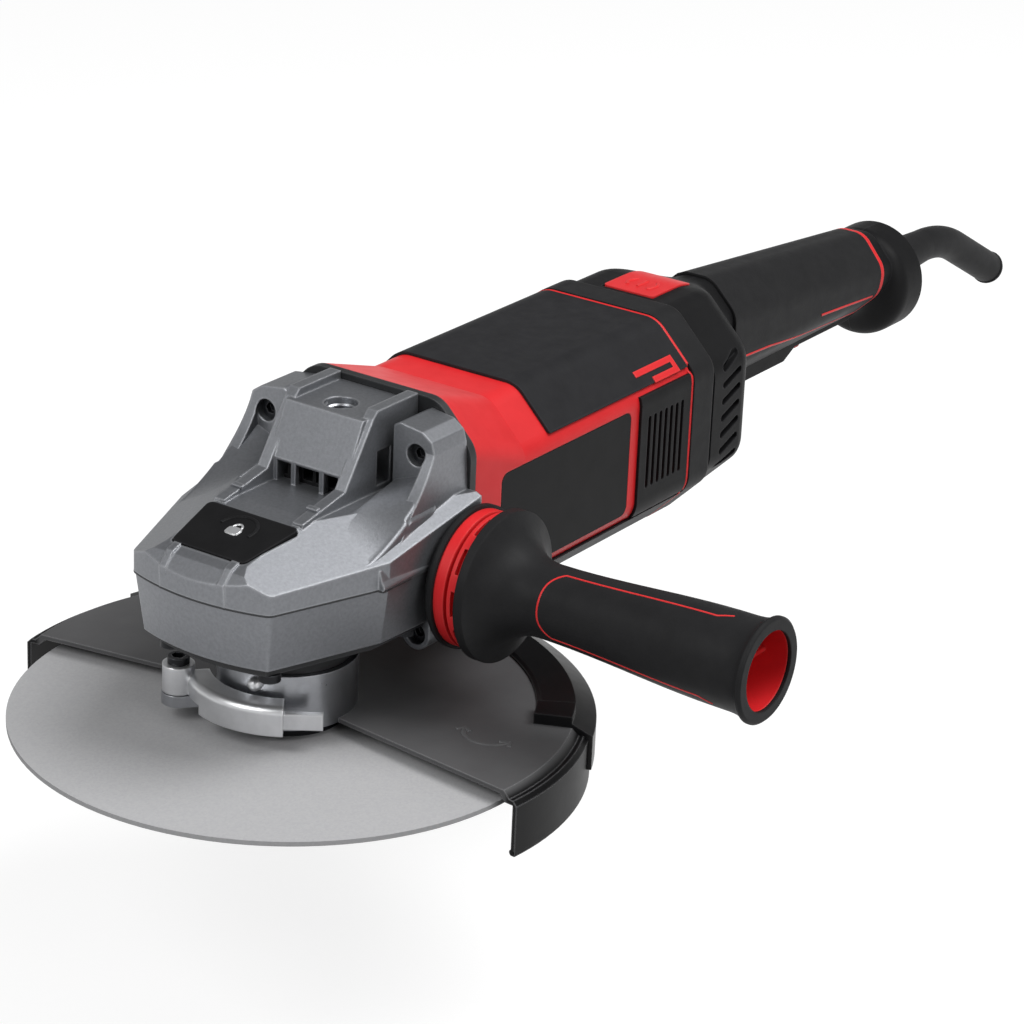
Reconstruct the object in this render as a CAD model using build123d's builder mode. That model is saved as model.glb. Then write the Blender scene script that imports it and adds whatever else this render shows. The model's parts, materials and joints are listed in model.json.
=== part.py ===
"""Angle grinder for 230 mm discs, with a swivelling rear handle, a side handle and a guard.

Sizes are in millimetres. The origin lies on the spindle axis, at the lower face of the clamp nut,
in the middle of its spanner holes. +X runs from the spindle to the rear handle,
+Z is up, and the side handle is screwed in on the -Y side.
"""
import os
from math import acos, cos, pi, radians, sin, sqrt, tan

from build123d import *

# Clearances
RUN_GAP = 0.3
SHAFT_GAP = 0.05
SCREW_GAP = 0.2

# Disc and its clamping
DISC_RADIUS = 115.0
DISC_THICKNESS = 2.0
DISC_BORE_RADIUS = 11.1
NUT_RADIUS = 20.0
NUT_HEIGHT = 10.0
NUT_PIN_CIRCLE = 15.0
NUT_PIN_RADIUS = 2.6
INNER_FLANGE_RADIUS = 24.0
INNER_FLANGE_HEIGHT = 7.0
PILOT_HEIGHT = 2.0
NUT_CHAMFER = 1.2
INNER_FLANGE_TAPER = 6.0

# Spindle
THREAD_RADIUS = 7.0
THREAD_END = 1.0
SPINDLE_LEAD = 5.0
SPINDLE_LEAD_RADIUS = 6.0
SHOULDER_RADIUS = 10.0
SPINDLE_RADIUS = 8.5
SPINDLE_END_RADIUS = 6.0
LOWER_BEARING_RADIUS = 20.0
LOWER_BEARING_WIDTH = 12.0
BUSH_WALL = 2.0
BUSH_LENGTH = 11.0
RETAINER_HEIGHT = 6.0
BEARING_SHIELD = 0.6
BEARING_RACE_SHARE = 0.3
RETAINER_BORE_GAP = 1.0

# Bevel gears
GEAR_MODULE = 2.1
GEAR_TEETH = 37
PINION_TEETH = 9
GEAR_FACE = 10.0
PRESSURE_ANGLE = radians(20.0)
PINION_ADDENDUM = 1.1
PINION_DEDENDUM = 0.8
GEAR_ADDENDUM = 0.55
GEAR_DEDENDUM = 1.35
PROFILE_SHIFT = 0.25
BACKLASH = 0.3
GEAR_HUB_RADIUS = 13.0
GEAR_WEB = 8.0
GEAR_TOP_BELOW_AXIS = 10.0
PINION_HUB_LENGTH = 4.0
PINION_HUB_RADIUS = 8.5
TOOTH_SINK = 0.5

# Motor axis and the spacing of the machine along it
AXIS_ABOVE_DISC = 72.0
HEAD_REAR = 54.0
PLATE_THICKNESS = 4.0
HOUSING_LENGTH = 182.0
FLARE_LENGTH = 36.0

# Gear head outline
NOSE_REACH = 63.0
NOSE_CORNER_X = -56.5
NOSE_CORNER_Y = 35.0
SHOULDER_X = -4.0
SHOULDER_Y = 53.5
HEAD_HALF_WIDTH = 56.0
NOSE_ROUND = 5.0
HEAD_DEPTH = 25.6
HEAD_TAPER = 8.0
SPLIT_STEP = 0.6
FLANGE_PLATE = 5.0
FLANGE_INSET = 5.5
FLANGE_PLATE_END = 31.5
NOSE_WALL_RISE = 8.5
NOSE_BEVEL_RISE = 14.0
DECK_START_X = -52.5
DECK_START_RISE = 16.3
DECK_END_X = -23.0
DECK_END_RISE = 22.5
ROOF_RISE = 23.5
ROOF_START_X = -13.0
BEVEL_X = -57.5
NOSE_RIB_Y = 14.7
NOSE_RIB_WIDTH = 3.6
NOSE_RIB_HEIGHT = 1.2
CHEEK_RISE = 2.5
GEAR_ROOM_RADIUS = 43.0
GEAR_ROOM_RISE = 2.0
GEAR_ROOM_FLOOR = 4.0
PINION_ROOM_RADIUS = 14.0

# Raised rear of the gear head
BOSS_FRONT = 32.0
BOSS_INNER_Y = 27.0
BOSS_TOP_RISE = 54.0
BOSS_EDGE_RISE = 44.0
BOSS_SHELF_Y = 43.0
BOSS_CROWN_Y = 41.0
BOSS_CROWN_DROP = 1.5
BOSS_CORNER_Y = 46.0
BOSS_CORNER_DROP = 5.0
BOSS_WALL_Y = 47.5
BOSS_FOOT_Y = 49.0
BOSS_FOOT_RISE = 20.0
BOSS_SIDE_RISE = 4.0
BOSS_ROUND = 1.5
TOP_DECK_RISE = 55.0
TOP_DECK_FRONT = 21.0
TOP_DECK_THICKNESS = 8.0
VENT_FRONT = 10.5
VENT_HEIGHT = 10.0
VENT_HALF_WIDTH = 15.6
VENT_POST = 2.4
VENT_MIDDLE = 12.0
RIDGE_INNER_Y = 17.2
RIDGE_THICKNESS = 5.4
RIDGE_RISE = 58.5
RIDGE_TOP_X = 27.0
RIDGE_TIP_X = -21.0
RIDGE_TIP = 1.5
RIDGE_FOOT = 4.0
RIDGE_BEVEL = 3.0
VENT_LIP = 1.0
DEFLECTOR_WALL = 1.6
DEFLECTOR_PITCH = 6.5
SIDE_VENT_LENGTH = 9.0
SIDE_VENT_HEIGHT = 15.0

# Handle sockets
SOCKET_RADIUS = 7.0
SOCKET_DEPTH = 18.0
SOCKET_WALL = 4.0
SIDE_SOCKET_X = 45.0
SIDE_SOCKET_DROP = 9.5
TOP_SOCKET_X = 32.0

# Screws of the gear head
HEAD_SCREW_RADIUS = 2.5
HEAD_SCREW_HEAD_RADIUS = 4.6
HEAD_SCREW_HEAD = 5.0
HEAD_SCREW_RECESS = 3.0
HEAD_SCREW_LENGTH = 30.0
UPPER_SCREW_Y = 38.6
UPPER_SCREW_RISE = 42.0
LOWER_SCREW_Y = 41.0
LOWER_SCREW_DROP = 36.0
SCREW_BOSS_RADIUS = 7.0
POST_LENGTH = 14.0
POST_WALL = 2.6
FLANGE_SCREW_RADIUS = 2.5
FLANGE_SCREW_HEAD_RADIUS = 4.5
FLANGE_SCREW_HEAD = 3.5
FLANGE_SCREW_LENGTH = 40.0
FRONT_FLANGE_SCREW = (-44.0, 25.5)
REAR_FLANGE_SCREW = (26.0, 39.5)

# Neck and guard
NECK_RADIUS = 26.5
NECK_GAP = 2.0
GUARD_PLATE_GAP = 5.0
GUARD_SHEET = 2.0
GUARD_RADIUS = 126.0
GUARD_STEP_RADIUS = 119.0
GUARD_STEP = 3.0
GUARD_SKIRT_DROP = 20.0
GUARD_SPAN = 196.0
GUARD_TURN = 1.8
COLLAR_HEIGHT = 24.0
COLLAR_WALL = 2.4
RIM_COVER_WALL = 1.8
RIM_COVER_INNER = 103.0
RIM_COVER_DROP = 15.0
RIM_COVER_START = -65.0
RIM_COVER_SPAN = 136.0
RIM_TAB_SPAN = 7.0
RIM_TAB_RISE = 3.0
PIVOT_ANGLE = 137.0
PIVOT_REACH = 45.0
PIVOT_RADIUS = 3.0
LUG_THICKNESS = 5.0
LUG_RADIUS = 7.0
LEVER_HUB_HEIGHT = 12.0
LEVER_HEIGHT = 8.5
LEVER_DROP = 4.0
LEVER_SKIRT_ANGLE = 160.0
LEVER_SKIRT_THICKNESS = 4.0
LEVER_EDGE = 3.0
LEVER_TAB_HEIGHT = 7.0
LEVER_THICKNESS = 10.0
LEVER_CLEAR = 3.0
LEVER_END_ANGLE = 216.0
LEVER_TAB = 18.0
LEVER_TAB_THICKNESS = 3.0
LEVER_TAB_ANGLE = 306.0
LEVER_SCREW_HEAD_RADIUS = 4.6
LEVER_SCREW_HEAD = 3.0

# Motor
SHAFT_RADIUS = 8.0
PINION_SEAT_RADIUS = 4.5
FRONT_SEAT_RADIUS = 6.0
FRONT_BEARING_RADIUS = 16.0
FRONT_BEARING_WIDTH = 10.0
REAR_SEAT_RADIUS = 5.0
REAR_BEARING_RADIUS = 15.0
REAR_BEARING_WIDTH = 9.0
BEARING_SEAT_WALL = 4.0
FAN_GAP = 6.0
FAN_WIDTH = 16.0
FAN_RADIUS = 40.0
FAN_BLADES = 11
FAN_SWEEP = 28.0
CORE_GAP = 18.0
CORE_LENGTH = 60.0
ARMATURE_RADIUS = 26.0
ARMATURE_SLOTS = 12
STATOR_BORE_GAP = 0.6
POLE_HALF_ANGLE = 52.0
COIL_GAP = 1.0
SLOT_DEPTH = 9.0
SLOT_WIDTH = 4.0
WINDING_DROP = 4.0
WINDING_OVERHANG = 7.0
COMMUTATOR_GAP = 5.0
COMMUTATOR_RADIUS = 17.0
COMMUTATOR_LENGTH = 20.0
BRUSH_WIDTH = 8.0
BRUSH_HEIGHT = 14.0
BRUSH_WALL = 1.5
BRUSH_LENGTH = 16.0
REAR_WEB_GAP = 4.0

# Motor housing
HOUSING_WIDTH = 100.0
HOUSING_HEIGHT = 94.0
HOUSING_CORNER = 20.0
HOUSING_ROUND = 12.0
HOUSING_WALL = 3.0
FRONT_SWELL = 16.0
FRONT_HEIGHT = HOUSING_HEIGHT + FRONT_SWELL
FRONT_RISE = 3.0
FRONT_CORNER = 18.0
COVER_WALL = 1.4
COVER_LINE = 1.5
TOP_COVER_EDGE = 30.0
TOP_COVER_START = 113.0
BOTTOM_COVER_EDGE = 31.0
PANEL_START = 77.0
PANEL_LENGTH = 97.0
PANEL_TOP = 22.5
PANEL_BOTTOM = 25.5
PANEL_ROUND = 4.0
PANEL_DEPTH = 1.0
GRILLE_LENGTH = 40.0
GRILLE_TOP = 27.0
GRILLE_SLOTS = 7
GRILLE_SLOT_WIDTH = 2.2
GRILLE_SLOT_PITCH = 4.4
GRILLE_SLOT_HEIGHT = 34.0
BUMPER_LENGTH = 18.0
BUMPER_STEP = 2.0
BUMPER_WIDTH = HOUSING_WIDTH + 2 * BUMPER_STEP
BUMPER_HEIGHT = HOUSING_HEIGHT + 2 * BUMPER_STEP
BUMPER_CORNER = 22.0
BUMPER_EDGE = 2.5

# Swivel of the rear handle
SPIGOT_RADIUS = 28.0
SPIGOT_WALL = 4.0
SPIGOT_LIP = 4.0
SPIGOT_LIP_WIDTH = 4.0
SWIVEL_WALL = 6.0
REAR_WALL = 4.0

# Rear handle
HANDLE_SIDE_STEP = 1.5
HANDLE_TOP_STEP = 0.5
HANDLE_WIDTH = HOUSING_WIDTH + 2 * HANDLE_SIDE_STEP
HANDLE_HEIGHT = HOUSING_HEIGHT + 2 * HANDLE_TOP_STEP
HANDLE_CORNER = 24.0
HANDLE_WALL = 3.0
FLANGE_LENGTH = 24.0
SHOULDER_LENGTH = 36.0
GRIP_LENGTH = 158.0
GRIP_WIDTH = 44.0
GRIP_HEIGHT = 53.0
GRIP_BOTTOM = 13.0
GRIP_END_WIDTH = 42.0
GRIP_END_HEIGHT = 38.0
GRIP_CORNER = 14.0
GRIP_ROUND = 11.0
END_COLLAR_RADIUS = 27.5
END_COLLAR_DROP = 3.0
END_COLLAR_LENGTH = 22.0
GRIP_SKIN = 1.4
TRIM_WIDTH = 3.0
TRIM_SETBACK = 17.0
TRIM_TILT = 12.0
VENT_SLOTS = 7
VENT_SLOT_PITCH = 8.0
VENT_SLOT_WIDTH = 3.4
VENT_SLOT_TILT = 20.0
VENT_SLOT_MARGIN = 1.0
SHOULDER_STEPS = 5
HANDLE_SCREW_RADIUS = 2.0
HANDLE_SCREW_HEAD_RADIUS = 3.6
HANDLE_SCREW_HEAD = 2.5
HANDLE_SCREW_HALF = 15.0
HANDLE_SCREW_INSET = 9.0
HANDLE_POST_WALL = 2.0
SWITCH_START = 20.0
SWITCH_LENGTH = 55.0
SWITCH_BOTTOM = 3.0
SWITCH_HEIGHT = 13.0

# Trigger and buttons
TRIGGER_START = 6.0
TRIGGER_TAIL = 12.0
TRIGGER_LENGTH = GRIP_LENGTH - TRIGGER_START - TRIGGER_TAIL
TRIGGER_WIDTH = 17.0
TRIGGER_DROP = 2.5
TRIGGER_NOSE_DROP = 5.0
TRIGGER_NOSE_LENGTH = 80.0
TRIGGER_DEPTH = 6.0
TRIGGER_END_GAP = 1.0
TRIGGER_PIN_RADIUS = 2.5
TRIGGER_PIN_HALF = 11.5
TRIGGER_PIN_BOSS = 2.5
TRIGGER_PIVOT_DEPTH = 8.0
TRIGGER_ROUND = 2.0
TRIGGER_REAR = 10.0
LOCK_OFF_LENGTH = 14.0
LOCK_OFF_TRAVEL = 5.0
LOCK_OFF_WIDTH = 8.0
LOCK_OFF_DEPTH = 5.0
LOCK_OFF_TIP = 4.0
SWIVEL_BUTTON_LENGTH = 33.0
SWIVEL_BUTTON_WIDTH = 27.0
SWIVEL_BUTTON_START = 4.0
SWIVEL_BUTTON_DEPTH = 11.0
SWIVEL_BUTTON_TRAVEL = 3.0
SWIVEL_BUTTON_SLOPE = 9.0
SWIVEL_BUTTON_LIP = 3.0
LOCK_TRAVEL = 4.0
LOCK_FRONT_HALF = 18.4
LOCK_REAR_HALF = 23.0
LOCK_CAP = 3.0
LOCK_CROWN = 0.6
LOCK_ARM_HALF = 5.0
LOCK_ARM_HEIGHT = 5.0
LOCK_PIN_RADIUS = 2.5
LOCK_PIN_REACH = 17.0
LOCK_POCKET_GAP = 0.9
LOCK_POCKET_DEPTH = 6.5
LOCK_ROUND = 2.5
LOCK_POCKETS = 4

# Cord sleeve
SLEEVE_ROOT_RADIUS = 11.0
SLEEVE_END_RADIUS = 8.4
SLEEVE_BORE_RADIUS = 5.0
SLEEVE_RISE = 0.0
SLEEVE_STRAIGHT = 45.0
SLEEVE_BEND = 80.0
SLEEVE_ANGLE = 28.0
SLEEVE_TAIL = 49.0
SLEEVE_FLANGE = 3.0
SLEEVE_SEAT = 6.0

# Side handle, measured along its axis from the side of the head
WASHER_RADIUS = 30.5
WASHER_THICKNESS = 4.5
RING_RADIUS = 29.0
RING_THICKNESS = 12.0
RING_GROOVE_START = 5.0
RING_GROOVE_WIDTH = 1.6
RING_GROOVE_DEPTH = 3.0
RING_SLOT_START = 8.4
RING_SLOT_LENGTH = 11.0
RING_SLOTS = 10
BELL_RADIUS = 32.0
BELL_LENGTH = 26.0
GRIP_NECK_RADIUS = 15.5
GRIP_BODY_RADIUS = 19.5
GRIP_RING_RADIUS = 22.0
SIDE_GRIP_LENGTH = 88.0
GRIP_RING_LENGTH = 14.0
GRIP_RING_EDGE = 2.0
CORE_RADIUS = 12.5
CORE_WALL = 1.6
MOUTH_RADIUS = 16.6
MOUTH_DEPTH = 24.0
STUD_RADIUS = 6.9
STUD_GRIP = 40.0

# Heights and stations that follow from the sizes above
DISC_TOP = NUT_HEIGHT + DISC_THICKNESS
FLANGE_TOP = DISC_TOP + INNER_FLANGE_HEIGHT
AXIS_Z = DISC_TOP + AXIS_ABOVE_DISC
HEAD_BOTTOM = AXIS_Z - HEAD_DEPTH
PLATE_BOTTOM = HEAD_BOTTOM - FLANGE_PLATE
NECK_BOTTOM = FLANGE_TOP + NECK_GAP
BEARING_BOTTOM = NECK_BOTTOM + RETAINER_HEIGHT
BEARING_TOP = BEARING_BOTTOM + LOWER_BEARING_WIDTH
ROOM_FLOOR = HEAD_BOTTOM + GEAR_ROOM_FLOOR
ROOM_TOP = AXIS_Z + GEAR_ROOM_RISE
BUSH_RADIUS = SPINDLE_END_RADIUS + BUSH_WALL
BUSH_TOP = ROOM_TOP + BUSH_LENGTH
ROOF_Z = AXIS_Z + ROOF_RISE
SOCKET_Z = AXIS_Z - SIDE_SOCKET_DROP
TOP_DECK_Z = AXIS_Z + TOP_DECK_RISE

GEAR_RADIUS = GEAR_MODULE * GEAR_TEETH / 2
PINION_RADIUS = GEAR_MODULE * PINION_TEETH / 2
GEAR_SMALL_END = (GEAR_RADIUS - GEAR_FACE) / GEAR_RADIUS
GEAR_TOP = AXIS_Z - GEAR_TOP_BELOW_AXIS
PINION_END = GEAR_RADIUS + PINION_HUB_LENGTH

HOUSING_FRONT = HEAD_REAR + PLATE_THICKNESS
HOUSING_REAR = HOUSING_FRONT + HOUSING_LENGTH
FRONT_BEARING_X = HEAD_REAR - FRONT_BEARING_WIDTH
FAN_X = HOUSING_FRONT + FAN_GAP
CORE_X = FAN_X + FAN_WIDTH + CORE_GAP
CORE_END = CORE_X + CORE_LENGTH
COMMUTATOR_X = CORE_END + WINDING_OVERHANG + COMMUTATOR_GAP
COMMUTATOR_END = COMMUTATOR_X + COMMUTATOR_LENGTH
REAR_BEARING_X = COMMUTATOR_END + REAR_WEB_GAP
STATOR_BORE = ARMATURE_RADIUS + STATOR_BORE_GAP
BUMPER_X = HOUSING_REAR - BUMPER_LENGTH

HANDLE_X = HOUSING_REAR + RUN_GAP
FLANGE_END = HANDLE_X + FLANGE_LENGTH
GRIP_X = FLANGE_END + SHOULDER_LENGTH
GRIP_END = GRIP_X + GRIP_LENGTH
HANDLE_END = GRIP_END + END_COLLAR_LENGTH


def across(x):
    """Plane square to the motor axis at a station, with Y to the right and Z up."""
    return Plane(origin=(x, 0, AXIS_Z), x_dir=(0, 1, 0), z_dir=(1, 0, 0))


def along(height=AXIS_Z):
    """Upright lengthwise plane with X to the right and heights counted from the given level."""
    return Plane(origin=(0, 0, height), x_dir=(1, 0, 0), z_dir=(0, -1, 0))


MOTOR_AXIS = Axis((0, 0, AXIS_Z), (1, 0, 0))
SIDE_AXIS = Axis((SIDE_SOCKET_X, 0, SOCKET_Z), (0, -1, 0))


def ball_bearing(plane, bore, outside, width):
    """Shielded ball bearing, its axis on the plane's normal."""
    race = BEARING_RACE_SHARE * (outside - bore)
    with BuildPart() as bearing:
        with BuildSketch(plane):
            Circle(outside)
            Circle(bore, mode=Mode.SUBTRACT)
        extrude(amount=width)
        for level in (0, width - BEARING_SHIELD):
            with BuildSketch(plane.offset(level)):
                Circle(outside - race)
                Circle(bore + race, mode=Mode.SUBTRACT)
            extrude(amount=BEARING_SHIELD, mode=Mode.SUBTRACT)
    return bearing


# Clamp nut, disc and inner flange
with BuildPart() as clamp_nut:
    with BuildSketch():
        Circle(NUT_RADIUS)
        Circle(THREAD_RADIUS + SHAFT_GAP, mode=Mode.SUBTRACT)
        with PolarLocations(NUT_PIN_CIRCLE, 4):
            Circle(NUT_PIN_RADIUS, mode=Mode.SUBTRACT)
    extrude(amount=NUT_HEIGHT)
    chamfer(clamp_nut.edges().group_by(Axis.Z)[0].sort_by(SortBy.RADIUS)[-1], NUT_CHAMFER)

with BuildPart() as grinding_disc:
    with BuildSketch(Plane.XY.offset(NUT_HEIGHT)):
        Circle(DISC_RADIUS)
        Circle(DISC_BORE_RADIUS, mode=Mode.SUBTRACT)
    extrude(amount=DISC_THICKNESS)

with BuildPart() as inner_flange:
    with BuildSketch(Plane.XY.offset(DISC_TOP)):
        Circle(INNER_FLANGE_RADIUS)
    extrude(amount=INNER_FLANGE_HEIGHT, taper=INNER_FLANGE_TAPER)
    with BuildSketch(Plane.XY.offset(DISC_TOP - PILOT_HEIGHT)):
        Circle(DISC_BORE_RADIUS - SHAFT_GAP)
    extrude(amount=PILOT_HEIGHT)
    with BuildSketch(Plane.XY.offset(DISC_TOP - PILOT_HEIGHT)):
        Circle(THREAD_RADIUS + SHAFT_GAP)
    extrude(amount=INNER_FLANGE_HEIGHT + PILOT_HEIGHT, mode=Mode.SUBTRACT)

# Spindle with its gear and bearings
with BuildPart() as spindle_shaft:
    with BuildSketch(Plane.XZ):
        with BuildLine():
            Polyline(
                (0, -THREAD_END - SPINDLE_LEAD),
                (SPINDLE_LEAD_RADIUS, -THREAD_END - SPINDLE_LEAD),
                (SPINDLE_LEAD_RADIUS, -THREAD_END),
                (THREAD_RADIUS, -THREAD_END),
                (THREAD_RADIUS, FLANGE_TOP),
                (SHOULDER_RADIUS, FLANGE_TOP),
                (SHOULDER_RADIUS, BEARING_BOTTOM),
                (SPINDLE_RADIUS, BEARING_BOTTOM),
                (SPINDLE_RADIUS, GEAR_TOP),
                (SPINDLE_END_RADIUS, GEAR_TOP),
                (SPINDLE_END_RADIUS, BUSH_TOP - RUN_GAP),
                (0, BUSH_TOP - RUN_GAP),
                close=True,
            )
        make_face()
    revolve(axis=Axis.Z)

spindle_bearing_lower = ball_bearing(
    Plane.XY.offset(BEARING_BOTTOM), SPINDLE_RADIUS + SHAFT_GAP, LOWER_BEARING_RADIUS, LOWER_BEARING_WIDTH
)

with BuildPart() as spindle_bush:
    with BuildSketch(Plane.XY.offset(ROOM_TOP)):
        Circle(BUSH_RADIUS)
        Circle(SPINDLE_END_RADIUS + SHAFT_GAP, mode=Mode.SUBTRACT)
    extrude(amount=BUSH_LENGTH)

with BuildPart() as bearing_retainer:
    with BuildSketch(Plane.XY.offset(NECK_BOTTOM)):
        Circle(LOWER_BEARING_RADIUS)
        Circle(SHOULDER_RADIUS + RETAINER_BORE_GAP, mode=Mode.SUBTRACT)
    extrude(amount=RETAINER_HEIGHT)

# Bevel gears: both tooth forms shrink towards the point where the two axes meet
TOOTH_PITCH = pi * GEAR_MODULE
SHIFT_WIDTH = 2 * PROFILE_SHIFT * GEAR_MODULE * tan(PRESSURE_ANGLE)
GEAR_TIP = PINION_RADIUS - GEAR_ADDENDUM * GEAR_MODULE
GEAR_ROOT = PINION_RADIUS + GEAR_DEDENDUM * GEAR_MODULE
GEAR_TOOTH = TOOTH_PITCH / 2 - SHIFT_WIDTH - BACKLASH


def gear_tooth(share):
    """Straight-sided tooth of the crown gear, across its length, at a share of the full size."""
    tip_half = GEAR_TOOTH / 2 - GEAR_ADDENDUM * GEAR_MODULE * tan(PRESSURE_ANGLE)
    root_half = GEAR_TOOTH / 2 + (GEAR_DEDENDUM * GEAR_MODULE + TOOTH_SINK) * tan(PRESSURE_ANGLE)
    foot = GEAR_ROOT + TOOTH_SINK
    with BuildSketch(across(GEAR_RADIUS * share)) as tooth:
        with BuildLine():
            Polyline(
                (-tip_half * share, -GEAR_TIP * share),
                (tip_half * share, -GEAR_TIP * share),
                (root_half * share, -foot * share),
                (-root_half * share, -foot * share),
                close=True,
            )
        make_face()
    return tooth.sketch


with BuildPart() as tooth_form:
    loft(sections=[gear_tooth(1.0), gear_tooth(GEAR_SMALL_END)], ruled=True)

with BuildPart() as crown_gear:
    rim = GEAR_RADIUS + TOOTH_SINK
    rim_root = AXIS_Z - GEAR_ROOT * rim / GEAR_RADIUS
    inner = GEAR_RADIUS * GEAR_SMALL_END - TOOTH_SINK
    inner_root = AXIS_Z - GEAR_ROOT * inner / GEAR_RADIUS
    with BuildSketch(Plane.XZ):
        with BuildLine():
            Polyline(
                (SPINDLE_RADIUS + SHAFT_GAP, BEARING_TOP),
                (GEAR_HUB_RADIUS, BEARING_TOP),
                (GEAR_HUB_RADIUS, rim_root - GEAR_WEB),
                (rim, rim_root - GEAR_WEB),
                (rim, rim_root),
                (inner, inner_root),
                (inner, GEAR_TOP),
                (SPINDLE_RADIUS + SHAFT_GAP, GEAR_TOP),
                close=True,
            )
        make_face()
    revolve(axis=Axis.Z)
    half_pitch = 180 / GEAR_TEETH
    with PolarLocations(0, GEAR_TEETH, start_angle=half_pitch):
        add(tooth_form.part)
    with Locations((0, 0, GEAR_TOP)):
        with PolarLocations(LOCK_PIN_REACH, LOCK_POCKETS):
            Hole(LOCK_PIN_RADIUS + LOCK_POCKET_GAP, depth=LOCK_POCKET_DEPTH)

BASE_RADIUS = PINION_RADIUS * cos(PRESSURE_ANGLE)
PINION_TIP = PINION_RADIUS + PINION_ADDENDUM * GEAR_MODULE
PINION_ROOT = PINION_RADIUS - PINION_DEDENDUM * GEAR_MODULE
PINION_TOOTH = TOOTH_PITCH / 2 + SHIFT_WIDTH - BACKLASH


def involute_angle(radius):
    """Half angle of a pinion tooth at a radius, from the involute of the base circle."""
    pressure = acos(min(1.0, BASE_RADIUS / radius))
    rolled = tan(pressure) - pressure
    start = tan(PRESSURE_ANGLE) - PRESSURE_ANGLE
    return PINION_TOOTH / 2 / PINION_RADIUS + start - rolled


def pinion_section(share):
    """Cross-section of the pinion at a share of its full size, one tooth pointing down."""

    def polar(radius, angle):
        return (radius * share * cos(angle), radius * share * sin(angle))

    middle = (BASE_RADIUS + PINION_TIP) / 2
    step = 2 * pi / PINION_TEETH
    with BuildSketch(across(GEAR_RADIUS * share)) as section:
        with BuildLine():
            for index in range(PINION_TEETH):
                centre = -pi / 2 + index * step
                foot = involute_angle(BASE_RADIUS)
                tip = involute_angle(PINION_TIP)
                Line(polar(PINION_ROOT, centre - foot), polar(BASE_RADIUS, centre - foot))
                ThreePointArc(
                    polar(BASE_RADIUS, centre - foot),
                    polar(middle, centre - involute_angle(middle)),
                    polar(PINION_TIP, centre - tip),
                )
                ThreePointArc(
                    polar(PINION_TIP, centre - tip),
                    polar(PINION_TIP, centre),
                    polar(PINION_TIP, centre + tip),
                )
                ThreePointArc(
                    polar(PINION_TIP, centre + tip),
                    polar(middle, centre + involute_angle(middle)),
                    polar(BASE_RADIUS, centre + foot),
                )
                Line(polar(BASE_RADIUS, centre + foot), polar(PINION_ROOT, centre + foot))
                ThreePointArc(
                    polar(PINION_ROOT, centre + foot),
                    polar(PINION_ROOT, centre + step / 2),
                    polar(PINION_ROOT, centre + step - foot),
                )
        make_face()
    return section.sketch


with BuildPart() as pinion:
    loft(sections=[pinion_section(GEAR_SMALL_END), pinion_section(1.0)], ruled=True)
    with BuildSketch(across(GEAR_RADIUS)):
        Circle(PINION_HUB_RADIUS)
    extrude(amount=PINION_HUB_LENGTH)
    with BuildSketch(across(0)):
        Circle(PINION_SEAT_RADIUS + SHAFT_GAP)
    extrude(amount=PINION_END, mode=Mode.SUBTRACT)


# Gear head
def head_outline(plane, inset=0.0):
    """Plan of the gear head: bowed nose, spreading cheeks and sides that run on past the rear."""
    left = [
        (NOSE_CORNER_X, NOSE_CORNER_Y),
        (SHOULDER_X, SHOULDER_Y),
        (HEAD_REAR, HEAD_HALF_WIDTH),
        (HEAD_REAR + HEAD_DEPTH, HEAD_HALF_WIDTH),
    ]
    right = [(x, -y) for x, y in left]
    with BuildSketch(plane) as outline:
        with BuildLine():
            ThreePointArc(left[0], (-NOSE_REACH, 0), right[0])
            Polyline(*right, *reversed(left))
        make_face()
        fillet(outline.vertices().sort_by(Axis.X)[:2], NOSE_ROUND)
        if inset:
            offset(amount=-inset)
    return outline.sketch


HEAD_SCREWS = [(side * UPPER_SCREW_Y, UPPER_SCREW_RISE) for side in (1, -1)]
HEAD_SCREWS += [(side * LOWER_SCREW_Y, -LOWER_SCREW_DROP) for side in (1, -1)]
FLANGE_SCREWS = [(x, side * y) for x, y in (FRONT_FLANGE_SCREW, REAR_FLANGE_SCREW) for side in (1, -1)]
SCREW_HEAD_X = BOSS_FRONT + HEAD_SCREW_RECESS + HEAD_SCREW_HEAD
PLATE_HUB_RADIUS = FRONT_BEARING_RADIUS + BEARING_SEAT_WALL


def screw_holes():
    """Lengthwise holes of the head screws, with a recess for each screw head."""
    with BuildPart() as holes:
        with BuildSketch(across(SCREW_HEAD_X)):
            with Locations(*HEAD_SCREWS):
                Circle(HEAD_SCREW_RADIUS + SCREW_GAP)
        extrude(amount=HEAD_SCREW_LENGTH)
        with BuildSketch(across(BOSS_FRONT - HEAD_SCREW_RECESS)):
            with Locations(*HEAD_SCREWS):
                Circle(HEAD_SCREW_HEAD_RADIUS + SCREW_GAP)
        extrude(amount=SCREW_HEAD_X - BOSS_FRONT + HEAD_SCREW_RECESS)
    return holes.part


HUB_BORE_RADIUS = (LOWER_BEARING_RADIUS + GEAR_HUB_RADIUS) / 2

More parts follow.
